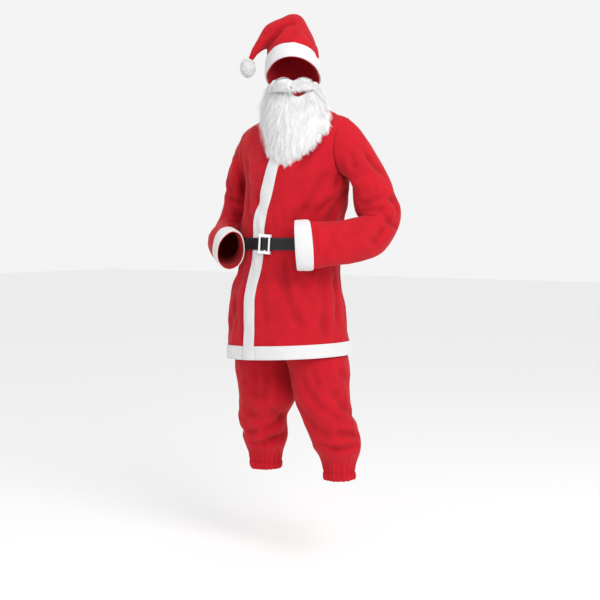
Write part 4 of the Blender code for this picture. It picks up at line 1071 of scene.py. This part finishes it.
class SUIT_OT_moustache(bpy.types.Operator):
    """Make the moustache: fibre combed out to both sides over the beard"""

    bl_idname = "suit.moustache"
    bl_label = "Moustache"

    def execute(self, context):
        settings = context.scene.santa_suit.fibre
        chance = np.random.default_rng(21)
        core = copied("moustache", "moustache_core")
        finer(core, 2)
        mesh = core.data
        points = points_of(mesh) - normals_of(mesh) * MOUSTACHE_SUNK
        low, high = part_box("moustache")
        upper = np.clip((points[:, 2] * 2 - low.z - high.z) / (high.z - low.z), 0, 1)
        points[:, 2] -= MOUSTACHE_LOWERED * upper * upper * (3 - 2 * upper)
        mesh.vertices.foreach_set("co", points.ravel())
        mark(mesh, "tone", np.full(len(mesh.vertices), 0.9))
        roots, out = scatter(mesh, settings.moustache_strands, 22)
        across = across_beard(roots) - MOUSTACHE_MIDDLE
        from_middle = np.clip(across / 0.025, -1, 1)[:, None]
        flow = unit(from_middle * BEARD_RIGHT + DOWN * 0.30 + np.abs(from_middle) * DOWN * 0.25)
        flow = unit(flow - out * np.sum(flow * out, axis=1)[:, None])
        start = unit(flow + out * 0.35)
        end = unit(flow + DOWN * 0.75 + chance.normal(0, 0.08, roots.shape))
        lengths = chance.uniform(0.018, 0.032, len(roots)) * np.clip(1.25 - np.abs(across) / 0.075, 0.4, 1)
        pull = lock_pull(roots, spacing=0.007, seed=23, strength=0.6)
        hairs = strands("hairs", roots, out, start, end, lengths, settings.strand_width,
                        steps=5, seed=24, pull=pull, wave=0.0015)
        fibre_finished(joined("moustache_fibre", [core, hairs]), "moustache", settings)
        return {"FINISHED"}


class SUIT_OT_elastic(bpy.types.Operator):
    """Give the beard's elastic its weave"""

    bl_idname = "suit.elastic"
    bl_label = "Elastic"

    def execute(self, context):
        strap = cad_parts["beard_elastic"]
        strap.data.materials.clear()
        strap.data.materials.append(elastic())
        return {"FINISHED"}


def add_lamp(lamp, brightness):
    """A square soft light that faces the suit."""
    light = bpy.data.lights.new(lamp.name, "AREA")
    light.energy = lamp.power * brightness
    light.size = lamp.size
    light.color = lamp.colour
    held = bpy.data.objects.new(lamp.name, light)
    bpy.context.scene.collection.objects.link(held)
    turn, up = math.radians(lamp.azimuth), math.radians(lamp.elevation)
    back = Vector((math.sin(turn) * math.cos(up), -math.cos(turn) * math.cos(up), math.sin(up)))
    held.location = Vector(LAMP_AIM) + back * lamp.distance
    held.rotation_euler = back.to_track_quat("Z", "Y").to_euler()


class SUIT_OT_stage(bpy.types.Operator):
    """Set up the pale floor, the soft light and the camera"""

    bl_idname = "suit.stage"
    bl_label = "Stage"

    def execute(self, context):
        settings = context.scene.santa_suit.stage
        bpy.ops.object.select_all(action="DESELECT")
        bpy.ops.mesh.primitive_plane_add(size=40, location=(0, 0, settings.floor))
        floor = context.object
        floor.name = "floor"
        floor.data.transform(floor.matrix_world)
        floor.matrix_world = Matrix.Identity(4)
        pale, _, _ = new_material("pale_floor", (0.93, 0.93, 0.93), 0.9, Specular_IOR_Level=0.1)
        floor.data.materials.append(pale)
        world = bpy.data.worlds.new("studio")
        context.scene.world = world
        world.use_nodes = True
        sky = world.node_tree.nodes["Background"]
        sky.inputs["Color"].default_value = (1.0, 1.0, 1.0, 1)
        sky.inputs["Strength"].default_value = SKY_STRENGTH
        for lamp in LAMPS:
            add_lamp(lamp, settings.brightness)
        lens = bpy.data.cameras.new("camera")
        camera = bpy.data.objects.new("camera", lens)
        context.scene.collection.objects.link(camera)
        lens.sensor_width = SENSOR
        lens.lens = SENSOR * PHOTO_FOCAL / PHOTO_WIDTH
        lens.shift_x = PHOTO_SHIFT / PHOTO_WIDTH
        lens.dof.use_dof = False
        turn, away = settings.azimuth, settings.distance
        camera.location = (away * math.sin(turn), -away * math.cos(turn), settings.height)
        camera.rotation_euler = (Vector(CAMERA_AIM) - camera.location).to_track_quat("-Z", "Y").to_euler()
        context.scene.camera = camera
        context.scene.view_settings.view_transform = "Standard"
        return {"FINISHED"}


MAKERS = (SUIT_OT_jacket, SUIT_OT_trims, SUIT_OT_trousers, SUIT_OT_belt, SUIT_OT_hat, SUIT_OT_pompom,
          SUIT_OT_beard, SUIT_OT_moustache, SUIT_OT_elastic, SUIT_OT_stage)


class SUIT_PT_panel(bpy.types.Panel):
    """The suit's sizes and colours, and what makes each piece"""

    bl_label = "Santa Suit"
    bl_idname = "SUIT_PT_panel"
    bl_space_type = "VIEW_3D"
    bl_region_type = "UI"
    bl_category = "Santa Suit"

    def draw(self, context):
        settings = context.scene.santa_suit
        for group in (settings.cloth, settings.fibre, settings.stage):
            box = self.layout.box()
            for name in group.bl_rna.properties.keys():
                if name not in ("name", "rna_type"):
                    box.prop(group, name)
        for maker in MAKERS:
            self.layout.operator(maker.bl_idname)


CLASSES = (SuitCloth, SuitFibre, SuitStage, SuitSettings, *MAKERS, SUIT_PT_panel)


def register():
    for kind in CLASSES:
        bpy.utils.register_class(kind)
    bpy.types.Scene.santa_suit = PointerProperty(type=SuitSettings)


def unregister():
    del bpy.types.Scene.santa_suit
    for kind in reversed(CLASSES):
        bpy.utils.unregister_class(kind)


def main():
    register()
    bpy.ops.suit.jacket()
    bpy.ops.suit.trims()
    bpy.ops.suit.trousers()
    bpy.ops.suit.belt()
    bpy.ops.suit.hat()
    bpy.ops.suit.pompom()
    bpy.ops.suit.beard()
    bpy.ops.suit.moustache()
    bpy.ops.suit.elastic()
    bpy.ops.suit.stage()


if __name__ == "__main__":
    main()
